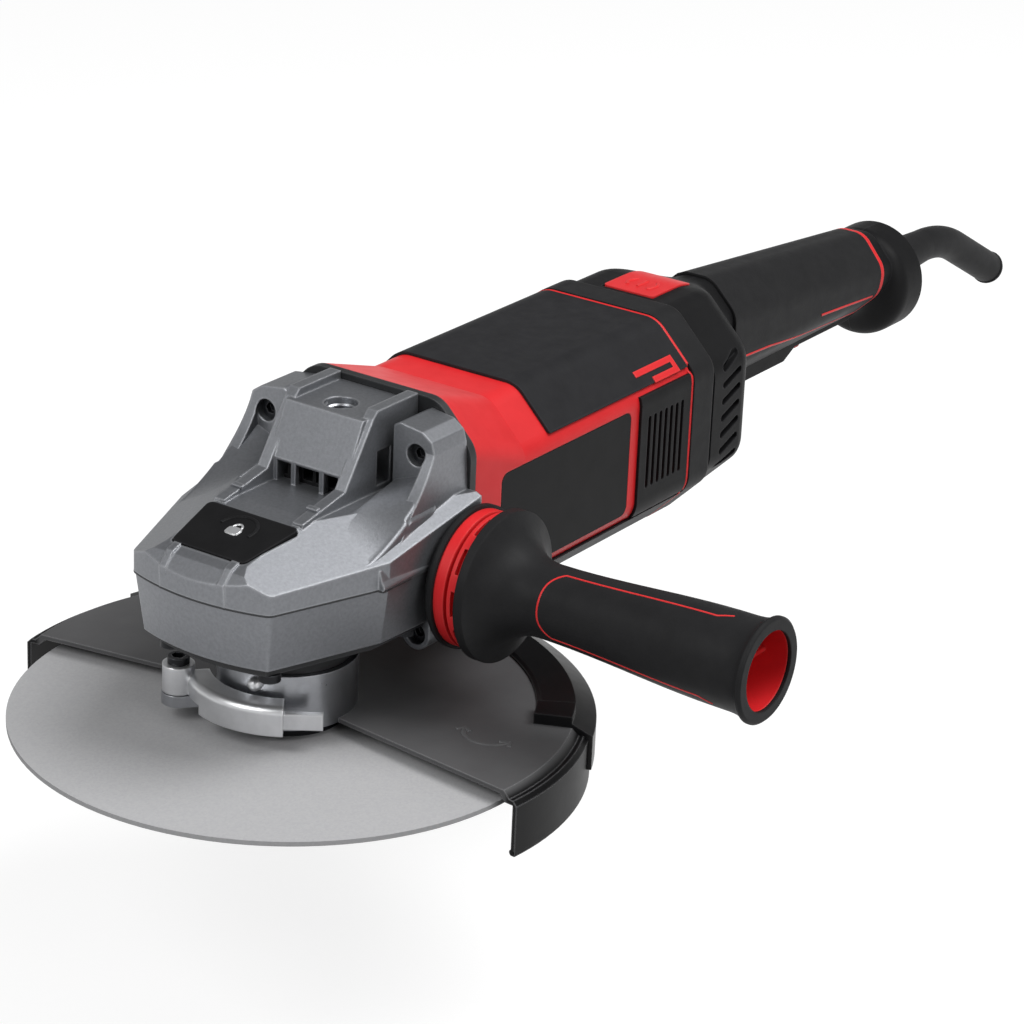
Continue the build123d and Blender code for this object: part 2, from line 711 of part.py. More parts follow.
with BuildPart() as lower_housing:
    # Drafted lower casting under the split, cut square at the rear
    extrude(
        head_outline(Plane.XY.offset(AXIS_Z), SPLIT_STEP),
        amount=-HEAD_DEPTH,
        taper=HEAD_TAPER,
    )
    split(bisect_by=across(HEAD_REAR), keep=Keep.BOTTOM)
    # Bosses of the lower head screws and of the two side handle sockets
    with BuildSketch(across(BOSS_FRONT)):
        for side in (1, -1):
            with Locations((side * LOWER_SCREW_Y, -LOWER_SCREW_DROP)):
                Circle(SCREW_BOSS_RADIUS)
                Rectangle(
                    2 * SCREW_BOSS_RADIUS,
                    LOWER_SCREW_DROP - HEAD_DEPTH / 2,
                    align=(Align.CENTER, Align.MIN),
                )
    extrude(amount=HEAD_REAR - BOSS_FRONT)
    for side in (1, -1):
        with BuildSketch(Plane.XZ.offset(-side * HEAD_HALF_WIDTH)):
            with Locations((SIDE_SOCKET_X, SOCKET_Z)):
                Rectangle(
                    2 * (HEAD_REAR - SIDE_SOCKET_X),
                    2 * SIDE_SOCKET_DROP,
                )
        extrude(amount=side * SOCKET_WALL)
    # Gear room, bore for the gear's hub and the half bore of the motor's bearing seat
    with BuildSketch(Plane.XY.offset(ROOM_FLOOR)):
        Circle(GEAR_ROOM_RADIUS)
    extrude(amount=HEAD_DEPTH, mode=Mode.SUBTRACT)
    with BuildSketch(Plane.XY.offset(HEAD_BOTTOM)):
        Circle(HUB_BORE_RADIUS)
    extrude(amount=GEAR_ROOM_FLOOR, mode=Mode.SUBTRACT)
    with BuildSketch(across(FRONT_BEARING_X)):
        Circle(PLATE_HUB_RADIUS)
    extrude(amount=HEAD_REAR - FRONT_BEARING_X, mode=Mode.SUBTRACT)
    with BuildSketch(across(0)):
        Circle(PINION_ROOM_RADIUS)
    extrude(amount=HEAD_REAR, mode=Mode.SUBTRACT)
    # Sockets and screw holes
    for side in (1, -1):
        with BuildSketch(Plane.XZ.offset(-side * HEAD_HALF_WIDTH)):
            with Locations((SIDE_SOCKET_X, SOCKET_Z)):
                Circle(SOCKET_RADIUS)
        extrude(amount=side * SOCKET_DEPTH, mode=Mode.SUBTRACT)
    add(screw_holes(), mode=Mode.SUBTRACT)
    with BuildSketch(Plane.XY.offset(HEAD_BOTTOM)):
        with Locations(*FLANGE_SCREWS):
            Circle(FLANGE_SCREW_RADIUS + SCREW_GAP)
    extrude(amount=HEAD_DEPTH, mode=Mode.SUBTRACT)

with BuildPart() as bearing_flange:
    # Plate under the lower casting, with the neck that carries the guard
    lower_inset = SPLIT_STEP + HEAD_DEPTH * tan(radians(HEAD_TAPER)) + FLANGE_INSET
    extrude(head_outline(Plane.XY.offset(HEAD_BOTTOM), lower_inset), amount=-FLANGE_PLATE)
    split(bisect_by=across(FLANGE_PLATE_END), keep=Keep.BOTTOM)
    with BuildSketch(Plane.XY.offset(NECK_BOTTOM)):
        Circle(NECK_RADIUS)
    extrude(amount=PLATE_BOTTOM - NECK_BOTTOM)
    with BuildSketch(Plane.XY.offset(NECK_BOTTOM)):
        Circle(LOWER_BEARING_RADIUS)
    extrude(amount=BEARING_TOP - NECK_BOTTOM, mode=Mode.SUBTRACT)
    with BuildSketch(Plane.XY.offset(BEARING_TOP)):
        Circle(HUB_BORE_RADIUS)
    extrude(amount=HEAD_BOTTOM - BEARING_TOP, mode=Mode.SUBTRACT)
    with BuildSketch(Plane.XY.offset(PLATE_BOTTOM)):
        with Locations(*FLANGE_SCREWS):
            Circle(FLANGE_SCREW_RADIUS + SCREW_GAP)
    extrude(amount=FLANGE_PLATE, mode=Mode.SUBTRACT)

# Shoulder beside the deck: screw boss with a cheek that sweeps up to it, on the +Y side
with BuildPart() as head_shoulder:
    with BuildSketch(Plane.XZ.offset(-BOSS_SHELF_Y)):
        with BuildLine():
            sweep_line = Spline(
                (SHOULDER_X - NOSE_ROUND, AXIS_Z + NOSE_WALL_RISE),
                (BOSS_FRONT / 2, AXIS_Z + ROOF_RISE),
                (BOSS_FRONT, AXIS_Z + BOSS_EDGE_RISE),
                tangents=((1, 0.1), (0.45, 1)),
            )
            Polyline(
                sweep_line @ 1,
                (BOSS_FRONT, AXIS_Z + BOSS_TOP_RISE),
                (HEAD_REAR, AXIS_Z + BOSS_TOP_RISE),
                (HEAD_REAR, AXIS_Z),
                (SHOULDER_X - NOSE_ROUND, AXIS_Z),
                sweep_line @ 0,
            )
        make_face()
    extrude(amount=-(HEAD_HALF_WIDTH - BOSS_SHELF_Y))
    with BuildSketch(Plane.XZ.offset(-BOSS_INNER_Y)):
        with Locations((BOSS_FRONT, AXIS_Z)):
            Rectangle(HEAD_REAR - BOSS_FRONT, BOSS_TOP_RISE, align=(Align.MIN, Align.MIN))
    extrude(amount=-(HEAD_HALF_WIDTH - BOSS_INNER_Y))
    with BuildSketch(across(-NOSE_REACH)):
        with BuildLine():
            FilletPolyline(
                (BOSS_INNER_Y, 0),
                (BOSS_INNER_Y, BOSS_TOP_RISE - BOSS_ROUND),
                (BOSS_INNER_Y + 2 * BOSS_ROUND, BOSS_TOP_RISE),
                (BOSS_CROWN_Y, BOSS_TOP_RISE - BOSS_CROWN_DROP),
                (BOSS_CORNER_Y, BOSS_TOP_RISE - BOSS_CORNER_DROP),
                (BOSS_WALL_Y, BOSS_EDGE_RISE),
                (BOSS_FOOT_Y, BOSS_FOOT_RISE),
                (SHOULDER_Y, BOSS_SIDE_RISE),
                (HEAD_HALF_WIDTH, 0),
                radius=BOSS_ROUND,
                close=True,
            )
        make_face()
    extrude(amount=NOSE_REACH + HEAD_REAR, mode=Mode.INTERSECT)


def cheek_plane(side):
    """Sloping facet of the head's upper side, through the nose corner and the shoulder."""
    corner = Vector(NOSE_CORNER_X, side * NOSE_CORNER_Y, AXIS_Z + NOSE_WALL_RISE)
    shoulder = Vector(SHOULDER_X, side * SHOULDER_Y, AXIS_Z + NOSE_WALL_RISE + CHEEK_RISE)
    deck = Vector(DECK_END_X, side * LOCK_REAR_HALF, AXIS_Z + DECK_END_RISE - NOSE_RIB_HEIGHT)
    normal = (deck - corner).cross(shoulder - corner) * side
    return Plane(origin=corner, z_dir=normal)


LOCK_PLAN = [
    (DECK_START_X, LOCK_FRONT_HALF),
    (DECK_END_X, LOCK_REAR_HALF),
    (DECK_END_X, -LOCK_REAR_HALF),
    (DECK_START_X, -LOCK_FRONT_HALF),
]
LOCK_ARM_TOP = AXIS_Z + DECK_START_RISE - LOCK_CAP
LOCK_ARM_END = -LOCK_PIN_REACH + LOCK_ARM_HALF
LOCK_ROOM_END = LOCK_ARM_END + RUN_GAP
RIDGE_MIDDLE = RIDGE_INNER_Y + RIDGE_THICKNESS / 2

with BuildPart() as gear_housing:
    # Upper casting: plan outline, lengthwise profile and the two sloping cheeks
    extrude(head_outline(Plane.XY.offset(AXIS_Z)), amount=RIDGE_RISE)
    with BuildSketch(along()):
        with BuildLine():
            Polyline(
                (-NOSE_REACH, 0),
                (-NOSE_REACH, NOSE_WALL_RISE),
                (BEVEL_X, NOSE_BEVEL_RISE),
                (DECK_START_X, DECK_START_RISE),
                (DECK_END_X, DECK_END_RISE),
                (ROOF_START_X, ROOF_RISE),
                (HEAD_REAR, ROOF_RISE),
                (HEAD_REAR, 0),
                close=True,
            )
        make_face()
    extrude(amount=HEAD_HALF_WIDTH, both=True, mode=Mode.INTERSECT)
    for side in (1, -1):
        split(bisect_by=cheek_plane(side), keep=Keep.BOTTOM)
    add(head_shoulder.part)
    add(head_shoulder.part.mirror(Plane.XZ))
    # Two short ribs on the nose, in front of the lock button
    for side in (1, -1):
        with BuildSketch(along().offset(-side * NOSE_RIB_Y)):
            with BuildLine():
                Polyline(
                    (NOSE_RIB_HEIGHT - NOSE_REACH, 0),
                    (NOSE_RIB_HEIGHT / 2 - NOSE_REACH, NOSE_WALL_RISE + NOSE_RIB_HEIGHT),
                    (BEVEL_X, NOSE_BEVEL_RISE + NOSE_RIB_HEIGHT),
                    (DECK_START_X - RUN_GAP, DECK_START_RISE + NOSE_RIB_HEIGHT / 2),
                    (DECK_START_X - RUN_GAP, 0),
                    close=True,
                )
            make_face()
        extrude(amount=NOSE_RIB_WIDTH / 2, both=True)
    # Top deck between two ridges
    with BuildSketch(along()):
        with BuildLine():
            Polyline(
                (VENT_FRONT, 0),
                (VENT_FRONT, ROOF_RISE + VENT_HEIGHT),
                (TOP_DECK_FRONT, TOP_DECK_RISE),
                (HEAD_REAR, TOP_DECK_RISE),
                (HEAD_REAR, 0),
                close=True,
            )
        make_face()
    extrude(amount=RIDGE_MIDDLE, both=True)
    for side in (1, -1):
        with BuildSketch(along().offset(-side * RIDGE_MIDDLE)):
            with BuildLine():
                Polyline(
                    (RIDGE_TIP_X, 0),
                    (RIDGE_TIP_X, DECK_END_RISE + RIDGE_TIP),
                    (VENT_FRONT - RIDGE_FOOT, ROOF_RISE + VENT_HEIGHT - RIDGE_FOOT),
                    (RIDGE_TOP_X - RIDGE_BEVEL, RIDGE_RISE - RIDGE_BEVEL),
                    (RIDGE_TOP_X, RIDGE_RISE),
                    (HEAD_REAR, RIDGE_RISE),
                    (HEAD_REAR, 0),
                    close=True,
                )
            make_face()
        extrude(amount=RIDGE_THICKNESS / 2, both=True)
    # Gear room with the bush seat, the motor's bearing seat and the pinion room
    with BuildSketch(Plane.XY.offset(AXIS_Z)):
        Circle(GEAR_ROOM_RADIUS)
    extrude(amount=GEAR_ROOM_RISE, mode=Mode.SUBTRACT)
    with BuildSketch(Plane.XY.offset(ROOM_TOP)):
        Circle(BUSH_RADIUS)
    extrude(amount=BUSH_LENGTH, mode=Mode.SUBTRACT)
    with BuildSketch(across(FRONT_BEARING_X)):
        Circle(PLATE_HUB_RADIUS)
    extrude(amount=HEAD_REAR - FRONT_BEARING_X, mode=Mode.SUBTRACT)
    with BuildSketch(across(BUSH_RADIUS + SOCKET_WALL)):
        Circle(PINION_ROOM_RADIUS)
    extrude(amount=HEAD_REAR, mode=Mode.SUBTRACT)
    # Air way under the deck, with posts in its mouth and windows in the ridges
    with BuildSketch(along()):
        with BuildLine():
            Polyline(
                (VENT_FRONT, ROOF_RISE),
                (VENT_FRONT, ROOF_RISE + VENT_HEIGHT - VENT_LIP),
                (TOP_DECK_FRONT + RIDGE_BEVEL, TOP_DECK_RISE - TOP_DECK_THICKNESS),
                (HEAD_REAR, TOP_DECK_RISE - TOP_DECK_THICKNESS),
                (HEAD_REAR, ROOF_RISE),
                close=True,
            )
        make_face()
    extrude(amount=VENT_HALF_WIDTH, both=True, mode=Mode.SUBTRACT)
    with BuildSketch(across(VENT_FRONT)):
        for side in (1, -1):
            with Locations((side * (VENT_MIDDLE + VENT_POST) / 2, ROOF_RISE)):
                Rectangle(VENT_POST, VENT_HEIGHT, align=(Align.CENTER, Align.MIN))
    extrude(amount=VENT_POST)
    with BuildSketch(along()):
        for index in range(2):
            start = RIDGE_TOP_X + index * (SIDE_VENT_LENGTH + VENT_POST)
            with Locations((start, ROOF_RISE + VENT_POST)):
                Rectangle(SIDE_VENT_LENGTH, SIDE_VENT_HEIGHT, align=(Align.MIN, Align.MIN))
    extrude(amount=BOSS_INNER_Y, both=True, mode=Mode.SUBTRACT)
    # Top handle socket in a boss that hangs from the deck
    with BuildSketch(Plane.XY.offset(TOP_DECK_Z)):
        with Locations((TOP_SOCKET_X, 0)):
            Circle(SOCKET_RADIUS + SOCKET_WALL)
    extrude(amount=-SOCKET_DEPTH - SOCKET_WALL)
    with BuildSketch(Plane.XY.offset(TOP_DECK_Z)):
        with Locations((TOP_SOCKET_X, 0)):
            Circle(SOCKET_RADIUS)
    extrude(amount=-SOCKET_DEPTH, mode=Mode.SUBTRACT)
    # Pocket and room of the spindle lock
    with BuildSketch(Plane.XY.offset(LOCK_ARM_TOP - LOCK_TRAVEL)) as lock_pocket:
        Polygon(*LOCK_PLAN, align=None)
        fillet(lock_pocket.vertices(), LOCK_ROUND)
        offset(amount=RUN_GAP)
    extrude(amount=ROOF_RISE, mode=Mode.SUBTRACT)
    with BuildSketch(Plane.XY.offset(ROOM_TOP)):
        with Locations((LOCK_ROOM_END, 0)):
            Rectangle(
                LOCK_ROOM_END - DECK_START_X,
                2 * (LOCK_ARM_HALF + RUN_GAP),
                align=(Align.MAX, Align.CENTER),
            )
    extrude(amount=LOCK_ARM_TOP + RUN_GAP - ROOM_TOP, mode=Mode.SUBTRACT)
    # Screw holes
    add(screw_holes(), mode=Mode.SUBTRACT)
    with BuildSketch(Plane.XY.offset(AXIS_Z)):
        with Locations(*FLANGE_SCREWS):
            Circle(FLANGE_SCREW_RADIUS + SCREW_GAP)
    extrude(amount=FLANGE_SCREW_LENGTH - FLANGE_PLATE - HEAD_DEPTH + SCREW_GAP, mode=Mode.SUBTRACT)

with BuildPart() as head_screws:
    with BuildSketch(across(SCREW_HEAD_X - HEAD_SCREW_HEAD)):
        with Locations(*HEAD_SCREWS):
            Circle(HEAD_SCREW_HEAD_RADIUS)
            RegularPolygon(HEAD_SCREW_RADIUS, 6, mode=Mode.SUBTRACT)
    extrude(amount=HEAD_SCREW_HEAD)
    with BuildSketch(across(SCREW_HEAD_X - HEAD_SCREW_HEAD / 2)):
        with Locations(*HEAD_SCREWS):
            Circle(HEAD_SCREW_RADIUS)
    extrude(amount=HEAD_SCREW_LENGTH + HEAD_SCREW_HEAD / 2 - SCREW_GAP)

with BuildPart() as flange_screws:
    with BuildSketch(Plane.XY.offset(PLATE_BOTTOM)):
        with Locations(*FLANGE_SCREWS):
            Circle(FLANGE_SCREW_HEAD_RADIUS)
            RegularPolygon(FLANGE_SCREW_RADIUS, 6, mode=Mode.SUBTRACT)
    extrude(amount=-FLANGE_SCREW_HEAD)
    with BuildSketch(Plane.XY.offset(PLATE_BOTTOM - FLANGE_SCREW_HEAD / 2)):
        with Locations(*FLANGE_SCREWS):
            Circle(FLANGE_SCREW_RADIUS)
    extrude(amount=FLANGE_SCREW_LENGTH + FLANGE_SCREW_HEAD / 2)

with BuildPart() as air_deflector:
    # Floor of the air way with a fan of upright guide blades behind the vents
    floor_start = VENT_FRONT + 2 * VENT_POST
    with BuildSketch(Plane.XY.offset(ROOF_Z)):
        with Locations((floor_start, 0)):
            Rectangle(HEAD_REAR - floor_start, 2 * VENT_HALF_WIDTH, align=(Align.MIN, Align.CENTER))
    extrude(amount=DEFLECTOR_WALL)
    with BuildSketch(Plane.XY.offset(ROOF_Z)):
        for index in range(-2, 3):
            with Locations((floor_start, index * DEFLECTOR_PITCH)):
                Rectangle(VENT_MIDDLE, DEFLECTOR_WALL, align=(Align.MIN, Align.CENTER))
    extrude(amount=VENT_HEIGHT - DEFLECTOR_WALL)

# Spindle lock: button with its arm, and the pin that enters the crown gear
with BuildPart() as lock_button:
    with BuildSketch(Plane.XY.offset(LOCK_ARM_TOP)) as lock_plan:
        Polygon(*LOCK_PLAN, align=None)
        fillet(lock_plan.vertices(), LOCK_ROUND)
    extrude(amount=ROOF_RISE)
    with BuildSketch(along()):
        with BuildLine():
            Polyline(
                (DECK_START_X, DECK_START_RISE - LOCK_CAP),
                (DECK_START_X, DECK_START_RISE + LOCK_CROWN),
                (DECK_END_X, DECK_END_RISE + LOCK_CROWN),
                (DECK_END_X, DECK_START_RISE - LOCK_CAP),
                close=True,
            )
        make_face()
    extrude(amount=LOCK_REAR_HALF, both=True, mode=Mode.INTERSECT)
    with BuildSketch(Plane.XY.offset(LOCK_ARM_TOP)):
        with Locations((LOCK_ARM_END, 0)):
            Rectangle(
                LOCK_ARM_END - DECK_START_X - LOCK_CAP,
                2 * LOCK_ARM_HALF,
                align=(Align.MAX, Align.CENTER),
            )
    extrude(amount=-LOCK_ARM_HEIGHT)

LOCK_PIN_BOTTOM = GEAR_TOP + RUN_GAP
LOCK_ARM_BOTTOM = LOCK_ARM_TOP - LOCK_ARM_HEIGHT

with BuildPart() as lock_pin:
    with BuildSketch(Plane.XY.offset(LOCK_PIN_BOTTOM)):
        with Locations((-LOCK_PIN_REACH, 0)):
            Circle(LOCK_PIN_RADIUS)
    extrude(amount=LOCK_ARM_BOTTOM - LOCK_PIN_BOTTOM)
    chamfer(lock_pin.edges().group_by(Axis.Z)[0], LOCK_CROWN)

# Guard
GUARD_PLATE_Z = DISC_TOP + GUARD_PLATE_GAP
GUARD_TOP = GUARD_PLATE_Z + GUARD_SHEET
COLLAR_INNER = NECK_RADIUS + RUN_GAP
COLLAR_OUTER = COLLAR_INNER + COLLAR_WALL
SKIRT_BOTTOM = DISC_TOP - GUARD_SKIRT_DROP


def radial_plane(angle):
    """Upright plane through the spindle axis, with the radius to the right."""
    turn = radians(angle)
    return Plane(origin=(0, 0, 0), x_dir=(cos(turn), sin(turn), 0), z_dir=(sin(turn), -cos(turn), 0))


def polar_point(radius, angle):
    """Point in plan at a radius and an angle from the +X direction."""
    return (radius * cos(radians(angle)), radius * sin(radians(angle)))


with BuildPart() as guard_shell:
    rim_z = GUARD_TOP - GUARD_STEP
    with BuildSketch(radial_plane(GUARD_TURN - GUARD_SPAN / 2)):
        with BuildLine():
            Polyline(
                (COLLAR_OUTER, GUARD_TOP),
                (GUARD_STEP_RADIUS, GUARD_TOP),
                (GUARD_STEP_RADIUS + GUARD_STEP, rim_z),
                (GUARD_RADIUS - GUARD_SHEET, rim_z),
                (GUARD_RADIUS, rim_z - GUARD_SHEET),
                (GUARD_RADIUS, SKIRT_BOTTOM),
                (GUARD_RADIUS - GUARD_SHEET, SKIRT_BOTTOM),
                (GUARD_RADIUS - GUARD_SHEET, rim_z - GUARD_SHEET),
                (GUARD_STEP_RADIUS + GUARD_STEP - GUARD_SHEET, rim_z - GUARD_SHEET),
                (GUARD_STEP_RADIUS - GUARD_SHEET, GUARD_PLATE_Z),
                (COLLAR_OUTER, GUARD_PLATE_Z),
                close=True,
            )
        make_face()
    revolve(axis=Axis.Z, revolution_arc=GUARD_SPAN)

with BuildPart() as rim_cover:
    rim_z = GUARD_TOP - GUARD_STEP
    with BuildSketch(radial_plane(RIM_COVER_START)):
        with BuildLine():
            Polyline(
                (RIM_COVER_INNER, GUARD_TOP),
                (RIM_COVER_INNER, GUARD_TOP + RIM_COVER_WALL / 2),
                (RIM_COVER_INNER + RIM_COVER_WALL, GUARD_TOP + RIM_COVER_WALL),
                (GUARD_STEP_RADIUS, GUARD_TOP + RIM_COVER_WALL),
                (GUARD_RADIUS + RIM_COVER_WALL, rim_z),
                (GUARD_RADIUS + RIM_COVER_WALL, rim_z - RIM_COVER_DROP),
                (GUARD_RADIUS, rim_z - RIM_COVER_DROP),
                (GUARD_RADIUS, rim_z - GUARD_SHEET),
                (GUARD_RADIUS - GUARD_SHEET, rim_z),
                (GUARD_STEP_RADIUS + GUARD_STEP, rim_z),
                (GUARD_STEP_RADIUS, GUARD_TOP),
                close=True,
            )
        make_face()
    revolve(axis=Axis.Z, revolution_arc=RIM_COVER_SPAN)
    # Raised finger tab at the end beside the side handle
    with BuildSketch(radial_plane(RIM_COVER_START)):
        with Locations(((RIM_COVER_INNER + GUARD_STEP_RADIUS) / 2, GUARD_TOP)):
            Rectangle(
                GUARD_STEP_RADIUS - RIM_COVER_INNER,
                RIM_COVER_WALL + RIM_TAB_RISE,
                align=(Align.CENTER, Align.MIN),
            )
    revolve(axis=Axis.Z, revolution_arc=RIM_TAB_SPAN)

PIVOT = polar_point(PIVOT_REACH, PIVOT_ANGLE)
LUG_BOTTOM = GUARD_TOP + RUN_GAP
LEVER_BOTTOM = LUG_BOTTOM + LUG_THICKNESS + RUN_GAP
LEVER_INNER = COLLAR_OUTER + LEVER_CLEAR
LEVER_OUTER = LEVER_INNER + LEVER_THICKNESS
LEVER_SCREW_TOP = LEVER_BOTTOM + LEVER_HUB_HEIGHT + RUN_GAP

with BuildPart() as guard_collar:
    with BuildSketch(Plane.XY.offset(GUARD_PLATE_Z)):
        Circle(COLLAR_OUTER)
        Circle(COLLAR_INNER, mode=Mode.SUBTRACT)
    extrude(amount=COLLAR_HEIGHT)
    # Lug that carries the pivot of the clamping lever
    with BuildSketch(Plane.XY.offset(LUG_BOTTOM)) as lug:
        with Locations(PIVOT):
            Circle(LUG_RADIUS)
        with Locations(Location((0, 0, 0), (0, 0, PIVOT_ANGLE))):
            Rectangle(PIVOT_REACH, 2 * LUG_RADIUS, align=(Align.MIN, Align.CENTER))
        Circle(COLLAR_INNER + COLLAR_WALL / 2, mode=Mode.SUBTRACT)
        with Locations(PIVOT):
            Circle(PIVOT_RADIUS, mode=Mode.SUBTRACT)
    extrude(amount=LUG_THICKNESS)

with BuildPart() as lever_screw:
    with BuildSketch(Plane.XY.offset(LUG_BOTTOM)):
        with Locations(PIVOT):
            Circle(PIVOT_RADIUS)
    extrude(amount=LEVER_SCREW_TOP - LUG_BOTTOM)
    with BuildSketch(Plane.XY.offset(LEVER_SCREW_TOP)):
        with Locations(PIVOT):
            Circle(LEVER_SCREW_HEAD_RADIUS)
            RegularPolygon(PIVOT_RADIUS, 6, mode=Mode.SUBTRACT)
    extrude(amount=LEVER_SCREW_HEAD)


def lever_bar(height, start, inner):
    """Curved bar round the front of the collar, in plan, from a start angle to the tab."""
    middle = (start + LEVER_END_ANGLE) / 2
    with BuildSketch(Plane.XY.offset(height)) as bar:
        with BuildLine():
            outer_arc = ThreePointArc(
                polar_point(LEVER_OUTER, start),
                polar_point(LEVER_OUTER, middle),
                polar_point(LEVER_OUTER, LEVER_END_ANGLE),
            )
            inner_arc = ThreePointArc(
                polar_point(inner, LEVER_END_ANGLE),
                polar_point(inner, middle),
                polar_point(inner, start),
            )
            Line(outer_arc @ 1, inner_arc @ 0)
            Line(inner_arc @ 1, outer_arc @ 0)
        make_face()
    return bar.sketch


with BuildPart() as clamp_lever:
    # Bar with a thinner skirt below it, its upper outer edge rounded
    extrude(lever_bar(LEVER_BOTTOM, PIVOT_ANGLE, LEVER_INNER), amount=LEVER_HEIGHT)
    top_edges = clamp_lever.edges().group_by(Axis.Z)[-1]
    fillet(top_edges.filter_by(GeomType.CIRCLE).sort_by(SortBy.RADIUS)[-1], LEVER_EDGE)
    extrude(
        lever_bar(LEVER_BOTTOM, LEVER_SKIRT_ANGLE, LEVER_OUTER - LEVER_SKIRT_THICKNESS),
        amount=-LEVER_DROP,
    )
    # Flat finger tab at the free end
    tab_root = polar_point(LEVER_OUTER - LEVER_SKIRT_THICKNESS, LEVER_END_ANGLE - LEVER_CLEAR)
    with BuildSketch(Plane.XY.offset(LEVER_BOTTOM - LEVER_DROP / 2)):
        with Locations(Location((*tab_root, 0), (0, 0, LEVER_TAB_ANGLE))):
            Rectangle(LEVER_TAB, LEVER_TAB_THICKNESS, align=(Align.MIN, Align.CENTER))
    extrude(amount=LEVER_TAB_HEIGHT)
    # Pivot hub
    with BuildSketch(Plane.XY.offset(LEVER_BOTTOM)):
        with Locations(PIVOT):
            Circle(LUG_RADIUS - RUN_GAP)
    extrude(amount=LEVER_HUB_HEIGHT)
    with BuildSketch(Plane.XY.offset(LEVER_BOTTOM)):
        with Locations(PIVOT):
            Circle(PIVOT_RADIUS + SHAFT_GAP)
    extrude(amount=LEVER_HUB_HEIGHT, mode=Mode.SUBTRACT)


# Motor
def octagon(plane, width, height, corner, rounding=HOUSING_ROUND, inset=0.0):
    """Rectangle with cut-off, softly rounded corners, drawn in all round by an inset."""
    with BuildSketch(plane) as section:
        Rectangle(width - 2 * inset, height - 2 * inset)
        chamfer(section.vertices(), corner - inset * (2 - sqrt(2)))
        fillet(section.vertices(), rounding - inset)
    return section.sketch


def front_section(x, inset=0.0):
    """Section of the housing at its front end, which reaches higher than the barrel."""
    plane = across(x)
    plane.origin += (0, 0, FRONT_RISE)
    return octagon(plane, HOUSING_WIDTH, FRONT_HEIGHT, FRONT_CORNER, inset=inset)


def barrel_section(x, inset=0.0):
    """Section of the straight barrel of the housing."""
    return octagon(across(x), HOUSING_WIDTH, HOUSING_HEIGHT, HOUSING_CORNER, inset=inset)


STATOR_RADIUS = min(HOUSING_WIDTH, HOUSING_HEIGHT) / 2 - HOUSING_WALL - SCREW_GAP
COIL_RADIUS = (STATOR_RADIUS + STATOR_BORE) / 2
WINDING_RADIUS = ARMATURE_RADIUS - WINDING_DROP
INNER_HALF_WIDTH = HOUSING_WIDTH / 2 - HOUSING_WALL
BRUSH_X = COMMUTATOR_X + COMMUTATOR_LENGTH / 2

with BuildPart() as bearing_plate:
    extrude(front_section(HEAD_REAR), amount=PLATE_THICKNESS)
    with BuildSketch(across(FRONT_BEARING_X)):
        Circle(PLATE_HUB_RADIUS)
    extrude(amount=HEAD_REAR - FRONT_BEARING_X)
    with BuildSketch(across(FRONT_BEARING_X)):
        Circle(FRONT_BEARING_RADIUS)
    extrude(amount=FRONT_BEARING_WIDTH, mode=Mode.SUBTRACT)
    with BuildSketch(across(HEAD_REAR)):
        Circle(SHAFT_RADIUS + RUN_GAP)
        with Locations((0, ROOF_RISE)):
            Rectangle(
                2 * VENT_HALF_WIDTH,
                FRONT_HEIGHT / 2 - HOUSING_WALL - ROOF_RISE,
                align=(Align.CENTER, Align.MIN),
            )
        with Locations(*HEAD_SCREWS):
            Circle(HEAD_SCREW_RADIUS + SCREW_GAP)
    extrude(amount=PLATE_THICKNESS, mode=Mode.SUBTRACT)

motor_bearing_front = ball_bearing(
    across(FRONT_BEARING_X), FRONT_SEAT_RADIUS + SHAFT_GAP, FRONT_BEARING_RADIUS, FRONT_BEARING_WIDTH
)
motor_bearing_rear = ball_bearing(
    across(REAR_BEARING_X), REAR_SEAT_RADIUS + SHAFT_GAP, REAR_BEARING_RADIUS, REAR_BEARING_WIDTH
)

with BuildPart() as armature_shaft:
    with BuildSketch(along()):
        with BuildLine():
            Polyline(
                (GEAR_RADIUS * GEAR_SMALL_END - PINION_HUB_LENGTH, 0),
                (GEAR_RADIUS * GEAR_SMALL_END - PINION_HUB_LENGTH, PINION_SEAT_RADIUS),
                (PINION_END, PINION_SEAT_RADIUS),
                (PINION_END, FRONT_SEAT_RADIUS),
                (HEAD_REAR, FRONT_SEAT_RADIUS),
                (HEAD_REAR, SHAFT_RADIUS),
                (REAR_BEARING_X, SHAFT_RADIUS),
                (REAR_BEARING_X, REAR_SEAT_RADIUS),
                (REAR_BEARING_X + REAR_BEARING_WIDTH, REAR_SEAT_RADIUS),
                (REAR_BEARING_X + REAR_BEARING_WIDTH, 0),
                close=True,
            )
        make_face()
    revolve(axis=MOTOR_AXIS)

with BuildPart() as cooling_fan:
    with BuildSketch(across(FAN_X)):
        Circle(SHAFT_RADIUS + BEARING_SEAT_WALL)
        with PolarLocations((FAN_RADIUS + SHAFT_RADIUS) / 2, FAN_BLADES):
            Rectangle(FAN_RADIUS - SHAFT_RADIUS - BEARING_SEAT_WALL, BRUSH_WALL, rotation=FAN_SWEEP)
    extrude(amount=FAN_WIDTH)
    with BuildSketch(across(FAN_X + FAN_WIDTH)):
        Circle(FAN_RADIUS)
    extrude(amount=-BRUSH_WALL)
    with BuildSketch(across(FAN_X)):
        Circle(SHAFT_RADIUS + SHAFT_GAP)
    extrude(amount=FAN_WIDTH, mode=Mode.SUBTRACT)

with BuildPart() as armature_core:
    with BuildSketch(across(CORE_X)):
        Circle(ARMATURE_RADIUS)
        Circle(SHAFT_RADIUS + SHAFT_GAP, mode=Mode.SUBTRACT)
        with PolarLocations(ARMATURE_RADIUS, ARMATURE_SLOTS):
            Rectangle(2 * SLOT_DEPTH, SLOT_WIDTH, mode=Mode.SUBTRACT)
    extrude(amount=CORE_LENGTH)

